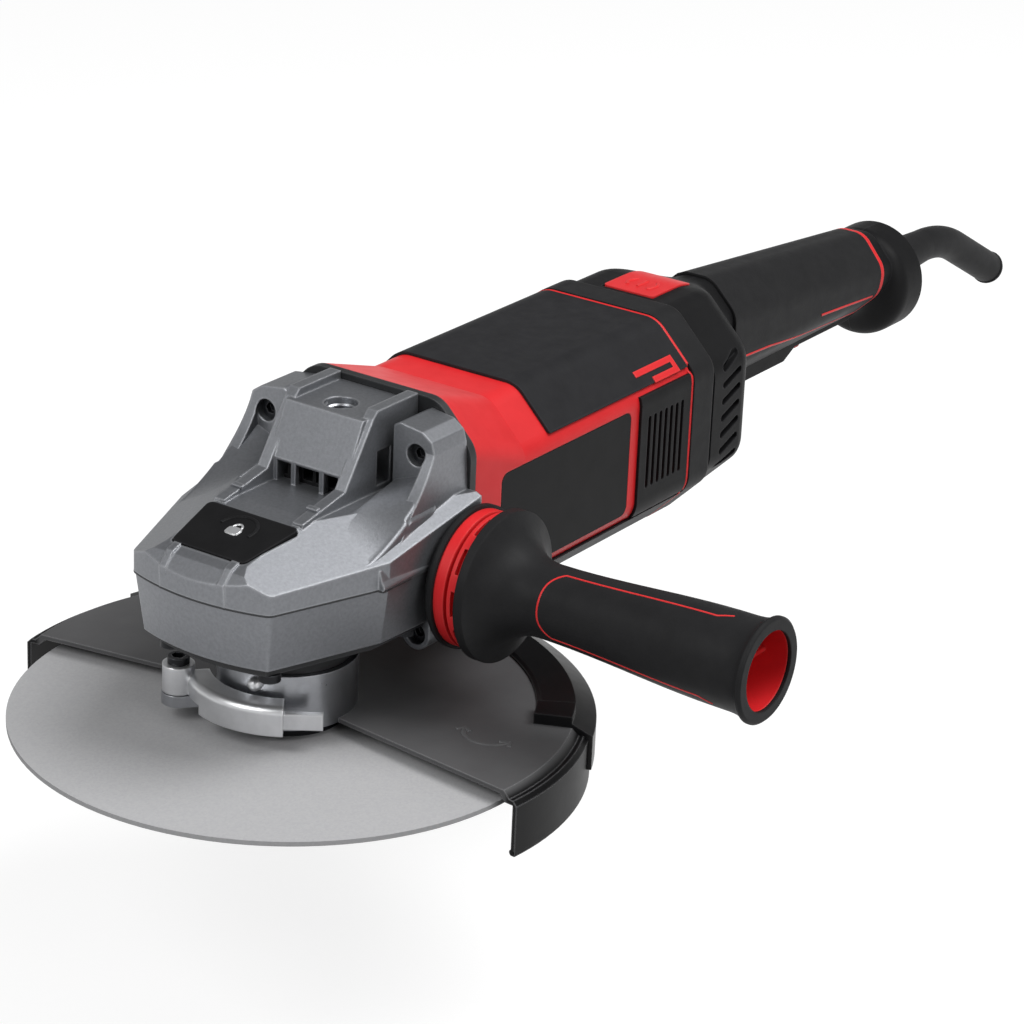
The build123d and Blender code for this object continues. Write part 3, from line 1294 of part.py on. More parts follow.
with BuildPart() as armature_windings:
    for start in (CORE_X - WINDING_OVERHANG, CORE_END):
        with BuildSketch(across(start)):
            Circle(WINDING_RADIUS)
            Circle(SHAFT_RADIUS + SHAFT_GAP, mode=Mode.SUBTRACT)
        extrude(amount=WINDING_OVERHANG)
    bar_outer = WINDING_RADIUS
    bar_inner = ARMATURE_RADIUS - SLOT_DEPTH + SHAFT_GAP
    with BuildSketch(across(CORE_X)):
        with PolarLocations((bar_outer + bar_inner) / 2, ARMATURE_SLOTS):
            Rectangle(bar_outer - bar_inner, SLOT_WIDTH - 2 * SHAFT_GAP)
    extrude(amount=CORE_LENGTH)

with BuildPart() as commutator:
    with BuildSketch(across(COMMUTATOR_X)):
        Circle(COMMUTATOR_RADIUS)
        Circle(SHAFT_RADIUS + SHAFT_GAP, mode=Mode.SUBTRACT)
        with PolarLocations(COMMUTATOR_RADIUS, 2 * ARMATURE_SLOTS):
            Rectangle(2 * BRUSH_WALL, COVER_WALL / 2, mode=Mode.SUBTRACT)
    extrude(amount=COMMUTATOR_LENGTH)

with BuildPart() as stator_core:
    with BuildSketch(across(CORE_X)):
        Circle(STATOR_RADIUS)
        Circle(STATOR_BORE, mode=Mode.SUBTRACT)
        for side in (1, -1):
            with BuildLine():
                start = 90 - POLE_HALF_ANGLE
                outer = CenterArc((0, 0), COIL_RADIUS, 90 - side * 90 - start, 2 * start)
                within = CenterArc((0, 0), STATOR_BORE - COIL_GAP, 90 - side * 90 - start, 2 * start)
                Line(outer @ 0, within @ 0)
                Line(outer @ 1, within @ 1)
            make_face(mode=Mode.SUBTRACT)
    extrude(amount=CORE_LENGTH)

with BuildPart() as field_coils:
    for side in (1, -1):
        with BuildSketch(across(CORE_X)):
            with BuildLine():
                start = 90 - POLE_HALF_ANGLE - COIL_GAP
                outer = CenterArc((0, 0), COIL_RADIUS - SHAFT_GAP, 90 - side * 90 - start, 2 * start)
                within = CenterArc((0, 0), STATOR_BORE + COIL_GAP, 90 - side * 90 - start, 2 * start)
                Line(outer @ 0, within @ 0)
                Line(outer @ 1, within @ 1)
            make_face()
        extrude(amount=CORE_LENGTH)
    for start in (CORE_X - WINDING_OVERHANG, CORE_END):
        with BuildSketch(across(start)):
            Circle(COIL_RADIUS - SHAFT_GAP)
            Circle(STATOR_BORE + COIL_GAP, mode=Mode.SUBTRACT)
        extrude(amount=WINDING_OVERHANG)

with BuildPart() as brush_holders:
    for side in (1, -1):
        with BuildSketch(Plane.XZ.offset(-side * INNER_HALF_WIDTH)):
            with Locations((BRUSH_X, AXIS_Z)):
                Rectangle(BRUSH_WIDTH + 2 * BRUSH_WALL, BRUSH_HEIGHT + 2 * BRUSH_WALL)
                Rectangle(BRUSH_WIDTH + SHAFT_GAP, BRUSH_HEIGHT + SHAFT_GAP, mode=Mode.SUBTRACT)
        extrude(amount=side * (INNER_HALF_WIDTH - COMMUTATOR_RADIUS - BRUSH_WALL))

with BuildPart() as carbon_brushes:
    for side in (1, -1):
        with BuildSketch(Plane.XZ.offset(-side * (COMMUTATOR_RADIUS + SHAFT_GAP))):
            with Locations((BRUSH_X, AXIS_Z)):
                Rectangle(BRUSH_WIDTH, BRUSH_HEIGHT)
        extrude(amount=-side * BRUSH_LENGTH)

with BuildPart() as air_guide:
    guide_x = FAN_X + FAN_WIDTH + CORE_GAP / 4
    extrude(barrel_section(guide_x, HOUSING_WALL), amount=BRUSH_WALL)
    with BuildSketch(across(guide_x)):
        Circle(ARMATURE_RADIUS + BRUSH_WALL)
    extrude(amount=BRUSH_WALL, mode=Mode.SUBTRACT)

# Motor housing
FLARE_END = HOUSING_FRONT + FLARE_LENGTH
SPIGOT_END = HANDLE_X + SWIVEL_WALL + RUN_GAP
COVER_END = BUMPER_X - COVER_LINE
GRILLE_X = COVER_END - GRILLE_LENGTH


def housing_form(end, inset=0.0):
    """Flared front and straight barrel of the housing, inset all round by a wall."""
    front = front_section(HOUSING_FRONT, inset)
    barrel = barrel_section(FLARE_END, inset)
    with BuildPart() as form:
        loft(sections=[front, barrel], ruled=True)
        extrude(barrel, amount=end - FLARE_END)
    return form.part


def panel_outline(margin=0.0):
    """Side panel in the lengthwise view, grown by a margin."""
    with BuildSketch(along()) as outline:
        with Locations((PANEL_START, -PANEL_BOTTOM)):
            Rectangle(PANEL_LENGTH, PANEL_BOTTOM + PANEL_TOP, align=(Align.MIN, Align.MIN))
        fillet(outline.vertices(), PANEL_ROUND)
        if margin:
            offset(amount=margin)
    return outline.sketch


def grille_slots():
    """Upright air slots of one grille in the lengthwise view."""
    with BuildSketch(along()) as slots:
        with Locations((GRILLE_X + GRILLE_LENGTH / 2, 0)):
            with GridLocations(GRILLE_SLOT_PITCH, GRILLE_SLOT_PITCH, GRILLE_SLOTS, 1):
                SlotOverall(GRILLE_SLOT_HEIGHT, GRILLE_SLOT_WIDTH, rotation=90)
    return slots.sketch


with BuildPart() as motor_housing:
    add(housing_form(HOUSING_REAR))
    add(housing_form(HOUSING_REAR - REAR_WALL, HOUSING_WALL), mode=Mode.SUBTRACT)
    # Posts for the head screws
    with BuildSketch(across(HOUSING_FRONT)):
        with Locations(*HEAD_SCREWS):
            Circle(HEAD_SCREW_RADIUS + SCREW_GAP + POST_WALL)
    extrude(amount=POST_LENGTH)
    add(housing_form(HOUSING_REAR + REAR_WALL), mode=Mode.INTERSECT)
    add(screw_holes(), mode=Mode.SUBTRACT)
    # Rear bearing seat on four spokes
    with BuildSketch(across(REAR_BEARING_X)):
        Circle(REAR_BEARING_RADIUS + BEARING_SEAT_WALL)
        Rectangle(2 * INNER_HALF_WIDTH, BEARING_SEAT_WALL)
        Rectangle(BEARING_SEAT_WALL, HOUSING_HEIGHT - 2 * HOUSING_WALL)
    extrude(amount=REAR_BEARING_WIDTH)
    with BuildSketch(across(REAR_BEARING_X)):
        Circle(REAR_BEARING_RADIUS)
    extrude(amount=REAR_BEARING_WIDTH, mode=Mode.SUBTRACT)
    # Swivel spigot with the lip that holds the rear handle
    with BuildSketch(across(HOUSING_REAR)):
        Circle(SPIGOT_RADIUS)
    extrude(amount=SPIGOT_END - HOUSING_REAR)
    with BuildSketch(across(SPIGOT_END)):
        Circle(SPIGOT_RADIUS + SPIGOT_LIP)
    extrude(amount=SPIGOT_LIP_WIDTH)
    with BuildSketch(across(HOUSING_REAR - REAR_WALL)):
        Circle(SPIGOT_RADIUS - SPIGOT_WALL)
    extrude(amount=SPIGOT_END + SPIGOT_LIP_WIDTH - HOUSING_REAR + REAR_WALL, mode=Mode.SUBTRACT)
    # Seats of the side panels and air intakes behind the grilles
    for side in (1, -1):
        extrude(
            panel_outline(SCREW_GAP).moved(Location((0, side * HOUSING_WIDTH / 2, 0))),
            amount=side * PANEL_DEPTH,
            mode=Mode.SUBTRACT,
        )
    extrude(grille_slots(), amount=HOUSING_WIDTH, both=True, mode=Mode.SUBTRACT)


def cover_shell(start, end):
    """Skin of the straight barrel between two stations."""
    outer = barrel_section(start, -COVER_WALL)
    inner = barrel_section(start)
    with BuildPart() as shell:
        extrude(outer, amount=end - start)
        extrude(inner, amount=end - start, mode=Mode.SUBTRACT)
    return shell.part


with BuildPart() as top_cover:
    add(cover_shell(TOP_COVER_START, COVER_END))
    with BuildSketch(Plane.XY.offset(AXIS_Z + TOP_COVER_EDGE)):
        with Locations((TOP_COVER_START, 0)):
            Rectangle(COVER_END - TOP_COVER_START, 2 * HOUSING_WIDTH, align=(Align.MIN, Align.CENTER))
    extrude(amount=HOUSING_HEIGHT, mode=Mode.INTERSECT)

with BuildPart() as bottom_cover:
    add(cover_shell(FLARE_END, COVER_END))
    with BuildSketch(Plane.XY.offset(AXIS_Z - BOTTOM_COVER_EDGE)):
        with Locations((FLARE_END, 0)):
            Rectangle(COVER_END - FLARE_END, 2 * HOUSING_WIDTH, align=(Align.MIN, Align.CENTER))
    extrude(amount=-HOUSING_HEIGHT, mode=Mode.INTERSECT)

grilles = []
panels = []
for side in (1, -1):
    with BuildPart() as grille:
        add(cover_shell(GRILLE_X, COVER_END))
        with BuildSketch(along(AXIS_Z).offset(-side * HOUSING_WIDTH / 4)):
            with Locations((GRILLE_X, GRILLE_TOP)):
                Rectangle(
                    GRILLE_LENGTH,
                    GRILLE_TOP + BOTTOM_COVER_EDGE - COVER_LINE,
                    align=(Align.MIN, Align.MAX),
                )
        extrude(amount=-side * HOUSING_WIDTH, mode=Mode.INTERSECT)
        extrude(grille_slots(), amount=HOUSING_WIDTH, both=True, mode=Mode.SUBTRACT)
    grilles.append(grille)
    with BuildPart() as panel:
        extrude(
            panel_outline().moved(Location((0, side * (HOUSING_WIDTH / 2 - PANEL_DEPTH), 0))),
            amount=-side * PANEL_DEPTH,
        )
    panels.append(panel)
vent_grille_left, vent_grille_right = grilles
side_panel_left, side_panel_right = panels

with BuildPart() as bumper_ring:
    extrude(octagon(across(BUMPER_X), BUMPER_WIDTH, BUMPER_HEIGHT, BUMPER_CORNER), amount=BUMPER_LENGTH)
    fillet(bumper_ring.edges().group_by(Axis.X)[-1], BUMPER_EDGE)
    extrude(barrel_section(BUMPER_X), amount=BUMPER_LENGTH, mode=Mode.SUBTRACT)


# Rear handle
def blend(start, end, share):
    """Value part of the way from start to end."""
    return start + (end - start) * share


def handle_section(x, inset=0.0):
    """Section at a station: flange, then a smooth shoulder, then the tapering grip."""
    shoulder = min(max((x - FLANGE_END) / SHOULDER_LENGTH, 0.0), 1.0)
    share = (1 - cos(pi * shoulder)) / 2
    taper = max((x - GRIP_X) / GRIP_LENGTH, 0.0)
    grip_height = blend(GRIP_HEIGHT, GRIP_END_HEIGHT, taper)
    width = blend(HANDLE_WIDTH, blend(GRIP_WIDTH, GRIP_END_WIDTH, taper), share)
    height = blend(HANDLE_HEIGHT, grip_height, share)
    rise = blend(0.0, grip_height / 2 - GRIP_BOTTOM, share)
    corner = blend(HANDLE_CORNER, GRIP_CORNER, share)
    rounding = blend(HOUSING_ROUND, GRIP_ROUND, share)
    plane = across(x)
    plane.origin += (0, 0, rise)
    return octagon(plane, width, height, corner, rounding, inset)


def handle_form(start, inset=0.0):
    """Handle from a station in its flange to the end of the grip, inset all round by a wall."""
    stations = [FLANGE_END + SHOULDER_LENGTH * step / SHOULDER_STEPS for step in range(SHOULDER_STEPS + 1)]
    with BuildPart() as form:
        extrude(handle_section(start, inset), amount=FLANGE_END - start)
        loft(sections=[handle_section(x, inset) for x in stations])
        add(grip_form(GRIP_X, GRIP_END, inset))
    return form.part


def grip_form(start, end, inset=0.0):
    """Stretch of the straight tapering grip between two stations."""
    with BuildPart() as form:
        loft(sections=[handle_section(start, inset), handle_section(end, inset)], ruled=True)
    return form.part


SLEEVE_Z = AXIS_Z + SLEEVE_RISE
SLEEVE_X = HANDLE_END - SLEEVE_SEAT - SLEEVE_FLANGE
TRIGGER_X = GRIP_X + TRIGGER_START
TRIGGER_END = TRIGGER_X + TRIGGER_LENGTH
TRIGGER_PIVOT_X = TRIGGER_END - TRIGGER_REAR
TRIGGER_PIVOT_RISE = TRIGGER_PIVOT_DEPTH - GRIP_BOTTOM
TRIGGER_HUB_RADIUS = TRIGGER_PIN_RADIUS + TRIGGER_PIN_BOSS
BUTTON_X = HANDLE_X + SWIVEL_BUTTON_START
BUTTON_BOTTOM = HANDLE_HEIGHT / 2 - SWIVEL_BUTTON_DEPTH
HANDLE_SCREWS = [
    (FLANGE_END - HANDLE_SCREW_HALF / 3, -HANDLE_HEIGHT / 2 + HANDLE_SCREW_HALF),
    (GRIP_X + HANDLE_SCREW_HALF, GRIP_HEIGHT - GRIP_BOTTOM - HANDLE_SCREW_INSET),
    (GRIP_END - 2 * HANDLE_SCREW_HALF, GRIP_END_HEIGHT - GRIP_BOTTOM - HANDLE_SCREW_INSET),
    (GRIP_END + END_COLLAR_LENGTH / 2, HANDLE_SCREW_INSET - END_COLLAR_RADIUS - END_COLLAR_DROP),
]


def handle_screw_holes():
    """Crosswise holes of the handle screws, each with a deep recess from the left."""
    with BuildPart() as holes:
        with BuildSketch(along().offset(-HANDLE_SCREW_HALF)):
            with Locations(*HANDLE_SCREWS):
                Circle(HANDLE_SCREW_RADIUS + SHAFT_GAP)
        extrude(amount=2 * HANDLE_SCREW_HALF)
        with BuildSketch(along().offset(-HANDLE_SCREW_HALF)):
            with Locations(*HANDLE_SCREWS):
                Circle(HANDLE_SCREW_HEAD_RADIUS + SCREW_GAP)
        extrude(amount=-HANDLE_WIDTH)
    return holes.part


def trigger_slot(gap):
    """Opening in the underside of the grip for the trigger."""
    with BuildPart() as slot:
        with BuildSketch(Plane.XY.offset(AXIS_Z - GRIP_BOTTOM - 2 * GRIP_SKIN)):
            with Locations((TRIGGER_X - TRIGGER_END_GAP, 0)):
                Rectangle(
                    TRIGGER_LENGTH + 2 * TRIGGER_END_GAP,
                    TRIGGER_WIDTH + 2 * gap,
                    align=(Align.MIN, Align.CENTER),
                )
        extrude(amount=2 * GRIP_SKIN + TRIGGER_PIVOT_DEPTH + TRIGGER_HUB_RADIUS + RUN_GAP)
    return slot.part


# Outer form of the handle, with a flared collar at its rear end
with BuildPart() as handle_outside:
    add(handle_form(HANDLE_X))
    with BuildSketch(along(AXIS_Z - END_COLLAR_DROP)):
        with BuildLine():
            flare = Spline(
                (GRIP_END - END_COLLAR_LENGTH / 2, GRIP_END_HEIGHT / 3),
                (GRIP_END + END_COLLAR_LENGTH / 4, END_COLLAR_RADIUS),
                tangents=((1, 0.2), (1, 0)),
            )
            Polyline(
                flare @ 1,
                (HANDLE_END - BUMPER_EDGE, END_COLLAR_RADIUS),
                (HANDLE_END, END_COLLAR_RADIUS - BUMPER_EDGE),
                (HANDLE_END, 0),
                (GRIP_END - END_COLLAR_LENGTH / 2, 0),
                flare @ 0,
            )
        make_face()
    revolve(axis=Axis((0, 0, AXIS_Z - END_COLLAR_DROP), (1, 0, 0)))

with BuildPart() as handle_body:
    # Hollow inside, with posts for the screws and for the trigger pin
    add(handle_outside.part)
    add(handle_form(HANDLE_X + SWIVEL_WALL, HANDLE_WALL), mode=Mode.SUBTRACT)
    with BuildSketch(along()):
        with Locations(*HANDLE_SCREWS[:3]):
            Circle(HANDLE_SCREW_HEAD_RADIUS + SCREW_GAP + HANDLE_POST_WALL)
        with Locations((TRIGGER_PIVOT_X, TRIGGER_PIVOT_RISE)):
            Circle(TRIGGER_HUB_RADIUS)
    extrude(amount=HANDLE_WIDTH / 2, both=True)
    add(handle_outside.part, mode=Mode.INTERSECT)
    add(handle_screw_holes(), mode=Mode.SUBTRACT)
    with BuildSketch(along().offset(-TRIGGER_PIN_HALF)):
        with Locations((TRIGGER_PIVOT_X, TRIGGER_PIVOT_RISE)):
            Circle(TRIGGER_PIN_RADIUS)
    extrude(amount=2 * TRIGGER_PIN_HALF, mode=Mode.SUBTRACT)
    # Swivel bore, seat of the cord sleeve, trigger slot and button pocket
    with BuildSketch(across(HANDLE_X)):
        Circle(SPIGOT_RADIUS + RUN_GAP)
    extrude(amount=SWIVEL_WALL, mode=Mode.SUBTRACT)
    sleeve_plane = across(SLEEVE_X)
    sleeve_plane.origin += (0, 0, SLEEVE_RISE)
    with BuildSketch(sleeve_plane):
        Circle(SLEEVE_ROOT_RADIUS)
    extrude(amount=HANDLE_END - SLEEVE_X, mode=Mode.SUBTRACT)
    with BuildSketch(sleeve_plane):
        Circle(SLEEVE_ROOT_RADIUS + SLEEVE_FLANGE)
    extrude(amount=SLEEVE_FLANGE, mode=Mode.SUBTRACT)
    with BuildSketch(sleeve_plane):
        Circle(SLEEVE_BORE_RADIUS + HANDLE_WALL)
    extrude(amount=GRIP_END - SLEEVE_X - HANDLE_WALL, mode=Mode.SUBTRACT)
    add(trigger_slot(RUN_GAP), mode=Mode.SUBTRACT)
    with BuildSketch(Plane.XY.offset(AXIS_Z + BUTTON_BOTTOM - SWIVEL_BUTTON_TRAVEL)):
        with Locations((BUTTON_X - RUN_GAP, 0)):
            Rectangle(
                SWIVEL_BUTTON_LENGTH + 2 * RUN_GAP,
                SWIVEL_BUTTON_WIDTH + 2 * RUN_GAP,
                align=(Align.MIN, Align.CENTER),
            )
    extrude(amount=HANDLE_HEIGHT, mode=Mode.SUBTRACT)
    # Slanted air slots in both sides of the flange
    slot_x = HANDLE_X + (SWIVEL_WALL + FLANGE_LENGTH) / 2
    vent_length = FLANGE_LENGTH - SWIVEL_WALL - 2 * VENT_SLOT_MARGIN
    for side in (1, -1):
        with BuildSketch(along().offset(-side * HANDLE_WIDTH / 2)):
            with Locations((slot_x, 0)):
                with GridLocations(VENT_SLOT_PITCH, VENT_SLOT_PITCH, 1, VENT_SLOTS):
                    SlotOverall(vent_length, VENT_SLOT_WIDTH, rotation=VENT_SLOT_TILT)
        extrude(amount=side * (HANDLE_WALL + VENT_SLOT_MARGIN), mode=Mode.SUBTRACT)

with BuildPart() as handle_shell_left:
    add(handle_body.part)
    split(bisect_by=Plane.XZ, keep=Keep.BOTTOM)

with BuildPart() as handle_shell_right:
    add(handle_body.part)
    split(bisect_by=Plane.XZ, keep=Keep.TOP)


def trim_plane(x):
    """Plane across the grip at a station, leaning back at the top as the trim ring does."""
    tilt = radians(TRIM_TILT)
    return Plane(origin=(x, 0, AXIS_Z), z_dir=(cos(tilt), 0, -sin(tilt)))


SKIN_START = GRIP_X + TRIM_WIDTH
TRIM_X = GRIP_END - TRIM_SETBACK
TRIM_END = TRIM_X + TRIM_WIDTH

# Skin over the grip, with the trigger slot left open
with BuildPart() as skin:
    add(grip_form(SKIN_START, GRIP_END, -GRIP_SKIN))
    add(grip_form(SKIN_START, GRIP_END), mode=Mode.SUBTRACT)
    add(trigger_slot(GRIP_SKIN), mode=Mode.SUBTRACT)
    add(handle_screw_holes(), mode=Mode.SUBTRACT)

with BuildPart() as grip_cover:
    add(skin.part)
    split(bisect_by=trim_plane(TRIM_X), keep=Keep.BOTTOM)

with BuildPart() as trim_ring:
    add(skin.part)
    split(bisect_by=trim_plane(TRIM_X), keep=Keep.TOP)
    split(bisect_by=trim_plane(TRIM_END), keep=Keep.BOTTOM)

with BuildPart() as handle_screws:
    with BuildSketch(along().offset(-HANDLE_SCREW_HALF)):
        with Locations(*HANDLE_SCREWS):
            Circle(HANDLE_SCREW_RADIUS)
    extrude(amount=2 * HANDLE_SCREW_HALF)
    with BuildSketch(along().offset(-HANDLE_SCREW_HALF)):
        with Locations(*HANDLE_SCREWS):
            Circle(HANDLE_SCREW_HEAD_RADIUS)
            RegularPolygon(HANDLE_SCREW_RADIUS, 6, mode=Mode.SUBTRACT)
    extrude(amount=-HANDLE_SCREW_HEAD)

with BuildPart() as switch_block:
    switch_width = blend(GRIP_WIDTH, GRIP_END_WIDTH, (SWITCH_START + SWITCH_LENGTH) / GRIP_LENGTH)
    with BuildSketch(Plane.XY.offset(AXIS_Z + SWITCH_BOTTOM)):
        with Locations((GRIP_X + SWITCH_START, 0)):
            Rectangle(
                SWITCH_LENGTH,
                switch_width - 2 * HANDLE_WALL - 2 * SHAFT_GAP,
                align=(Align.MIN, Align.CENTER),
            )
    extrude(amount=SWITCH_HEIGHT)

with BuildPart() as trigger_pin:
    with BuildSketch(along().offset(-TRIGGER_PIN_HALF)):
        with Locations((TRIGGER_PIVOT_X, TRIGGER_PIVOT_RISE)):
            Circle(TRIGGER_PIN_RADIUS)
    extrude(amount=2 * TRIGGER_PIN_HALF)

with BuildPart() as trigger:
    bottom = -GRIP_BOTTOM - TRIGGER_DROP
    top = TRIGGER_DEPTH - GRIP_BOTTOM
    with BuildSketch(along()):
        with BuildLine():
            FilletPolyline(
                (TRIGGER_X, top),
                (TRIGGER_X, bottom - TRIGGER_NOSE_DROP / 2),
                (TRIGGER_X + 2 * TRIGGER_NOSE_DROP, bottom - TRIGGER_NOSE_DROP),
                (TRIGGER_X + TRIGGER_NOSE_LENGTH - 2 * TRIGGER_NOSE_DROP, bottom - TRIGGER_NOSE_DROP),
                (TRIGGER_X + TRIGGER_NOSE_LENGTH, bottom),
                (TRIGGER_END - TRIGGER_REAR, bottom),
                (TRIGGER_END, -GRIP_BOTTOM),
                (TRIGGER_END, top),
                radius=TRIGGER_ROUND,
                close=True,
            )
        make_face()
        with Locations((TRIGGER_PIVOT_X, TRIGGER_PIVOT_RISE)):
            Circle(TRIGGER_HUB_RADIUS)
    extrude(amount=TRIGGER_WIDTH / 2, both=True)
    with BuildSketch(along()):
        with Locations((TRIGGER_PIVOT_X, TRIGGER_PIVOT_RISE)):
            Circle(TRIGGER_PIN_RADIUS + SHAFT_GAP)
    extrude(amount=TRIGGER_WIDTH, both=True, mode=Mode.SUBTRACT)
    # Pocket of the lock-off slider in the underside
    lock_x = TRIGGER_X + TRIGGER_NOSE_LENGTH + 2 * TRIGGER_ROUND
    with BuildSketch(Plane.XY.offset(AXIS_Z + bottom)):
        with Locations((lock_x - RUN_GAP, 0)):
            Rectangle(
                LOCK_OFF_LENGTH + LOCK_OFF_TRAVEL + 2 * RUN_GAP,
                LOCK_OFF_WIDTH + 2 * RUN_GAP,
                align=(Align.MIN, Align.CENTER),
            )
    extrude(amount=LOCK_OFF_DEPTH, mode=Mode.SUBTRACT)

with BuildPart() as lock_off:
    with BuildSketch(along(AXIS_Z + bottom)):
        with BuildLine():
            Polyline(
                (lock_x, LOCK_OFF_DEPTH - RUN_GAP),
                (lock_x, -LOCK_OFF_TIP / 2),
                (lock_x + LOCK_OFF_LENGTH / 4, -LOCK_OFF_TIP),
                (lock_x + LOCK_OFF_LENGTH / 2, -LOCK_OFF_TIP),
                (lock_x + LOCK_OFF_LENGTH, -RUN_GAP),
                (lock_x + LOCK_OFF_LENGTH, LOCK_OFF_DEPTH - RUN_GAP),
                close=True,
            )
        make_face()
    extrude(amount=LOCK_OFF_WIDTH / 2, both=True)

with BuildPart() as swivel_button:
    add(handle_form(HANDLE_X, -COVER_WALL / 2))
    with BuildSketch(Plane.XY.offset(AXIS_Z + BUTTON_BOTTOM)) as button_plan:
        with Locations((BUTTON_X, 0)):
            Rectangle(SWIVEL_BUTTON_LENGTH, SWIVEL_BUTTON_WIDTH, align=(Align.MIN, Align.CENTER))
        fillet(button_plan.vertices(), LOCK_ROUND)
    extrude(amount=HANDLE_HEIGHT, mode=Mode.INTERSECT)
    # Lower front corner sloped away, clear of the housing's rear edge
    with BuildSketch(along()):
        with BuildLine():
            Polyline(
                (BUTTON_X, BUTTON_BOTTOM),
                (BUTTON_X, HANDLE_HEIGHT / 2 - SWIVEL_BUTTON_LIP),
                (BUTTON_X + SWIVEL_BUTTON_SLOPE, BUTTON_BOTTOM),
                close=True,
            )
        make_face()
    extrude(amount=SWIVEL_BUTTON_WIDTH, both=True, mode=Mode.SUBTRACT)

# Bend-protection sleeve at the cord entry: tapered root, then a bent tube
with BuildPart() as cord_sleeve:
    sleeve_plane = across(SLEEVE_X)
    sleeve_plane.origin += (0, 0, SLEEVE_RISE)
    with BuildSketch(sleeve_plane):
        Circle(SLEEVE_ROOT_RADIUS + SLEEVE_FLANGE)
    extrude(amount=SLEEVE_FLANGE)
    with BuildSketch(sleeve_plane):
        Circle(SLEEVE_ROOT_RADIUS)
    extrude(amount=HANDLE_END - SLEEVE_X)
    with BuildSketch(along(SLEEVE_Z)):
        with BuildLine():
            Polyline(
                (HANDLE_END, 0),
                (HANDLE_END, SLEEVE_ROOT_RADIUS),
                (HANDLE_END + SLEEVE_STRAIGHT, SLEEVE_END_RADIUS),
                (HANDLE_END + SLEEVE_STRAIGHT, 0),
                close=True,
            )
        make_face()
    revolve(axis=Axis((0, 0, SLEEVE_Z), (1, 0, 0)))
    with BuildLine(along(SLEEVE_Z)) as sleeve_path:
        bend = CenterArc((HANDLE_END + SLEEVE_STRAIGHT, -SLEEVE_BEND), SLEEVE_BEND, 90, -SLEEVE_ANGLE)
        Line(bend @ 1, bend @ 1 + (bend % 1) * SLEEVE_TAIL)
    bend_plane = across(HANDLE_END + SLEEVE_STRAIGHT)
    bend_plane.origin += (0, 0, SLEEVE_RISE)
    with BuildSketch(bend_plane):
        Circle(SLEEVE_END_RADIUS)
    sweep(path=sleeve_path.line)
    with BuildSketch(bend_plane):
        Circle(SLEEVE_BORE_RADIUS)
    sweep(path=sleeve_path.line, mode=Mode.SUBTRACT)
    with BuildSketch(sleeve_plane):
        Circle(SLEEVE_BORE_RADIUS)
    extrude(amount=HANDLE_END + SLEEVE_STRAIGHT - SLEEVE_X, mode=Mode.SUBTRACT)

# Side handle, drawn with its radius to the right and its axis pointing away from the head
SIDE_PLANE = Plane(origin=(SIDE_SOCKET_X, -HEAD_HALF_WIDTH, SOCKET_Z), x_dir=(1, 0, 0), z_dir=(0, 0, -1))
RING_START = WASHER_THICKNESS
BELL_START = RING_START + RING_THICKNESS
SIDE_GRIP_START = BELL_START + BELL_LENGTH
END_RING_START = SIDE_GRIP_START + SIDE_GRIP_LENGTH
SIDE_END = END_RING_START + GRIP_RING_LENGTH
STUD_ENGAGED = SOCKET_DEPTH - SCREW_GAP
MOUTH_OUTER = MOUTH_RADIUS + CORE_WALL

with BuildPart() as handle_washer:
    with BuildSketch(SIDE_PLANE):
        with BuildLine():
            Polyline(
                (STUD_RADIUS + SHAFT_GAP, 0),
                (WASHER_RADIUS - GRIP_RING_EDGE, 0),
                (WASHER_RADIUS, WASHER_THICKNESS / 2),
                (WASHER_RADIUS, WASHER_THICKNESS),
                (STUD_RADIUS + SHAFT_GAP, WASHER_THICKNESS),
                close=True,
            )
        make_face()
    revolve(axis=SIDE_AXIS)

with BuildPart() as handle_stud:
    with BuildSketch(SIDE_PLANE):
        with Locations((0, -STUD_ENGAGED)):
            Rectangle(STUD_RADIUS, STUD_ENGAGED + STUD_GRIP, align=(Align.MIN, Align.MIN))
    revolve(axis=SIDE_AXIS)

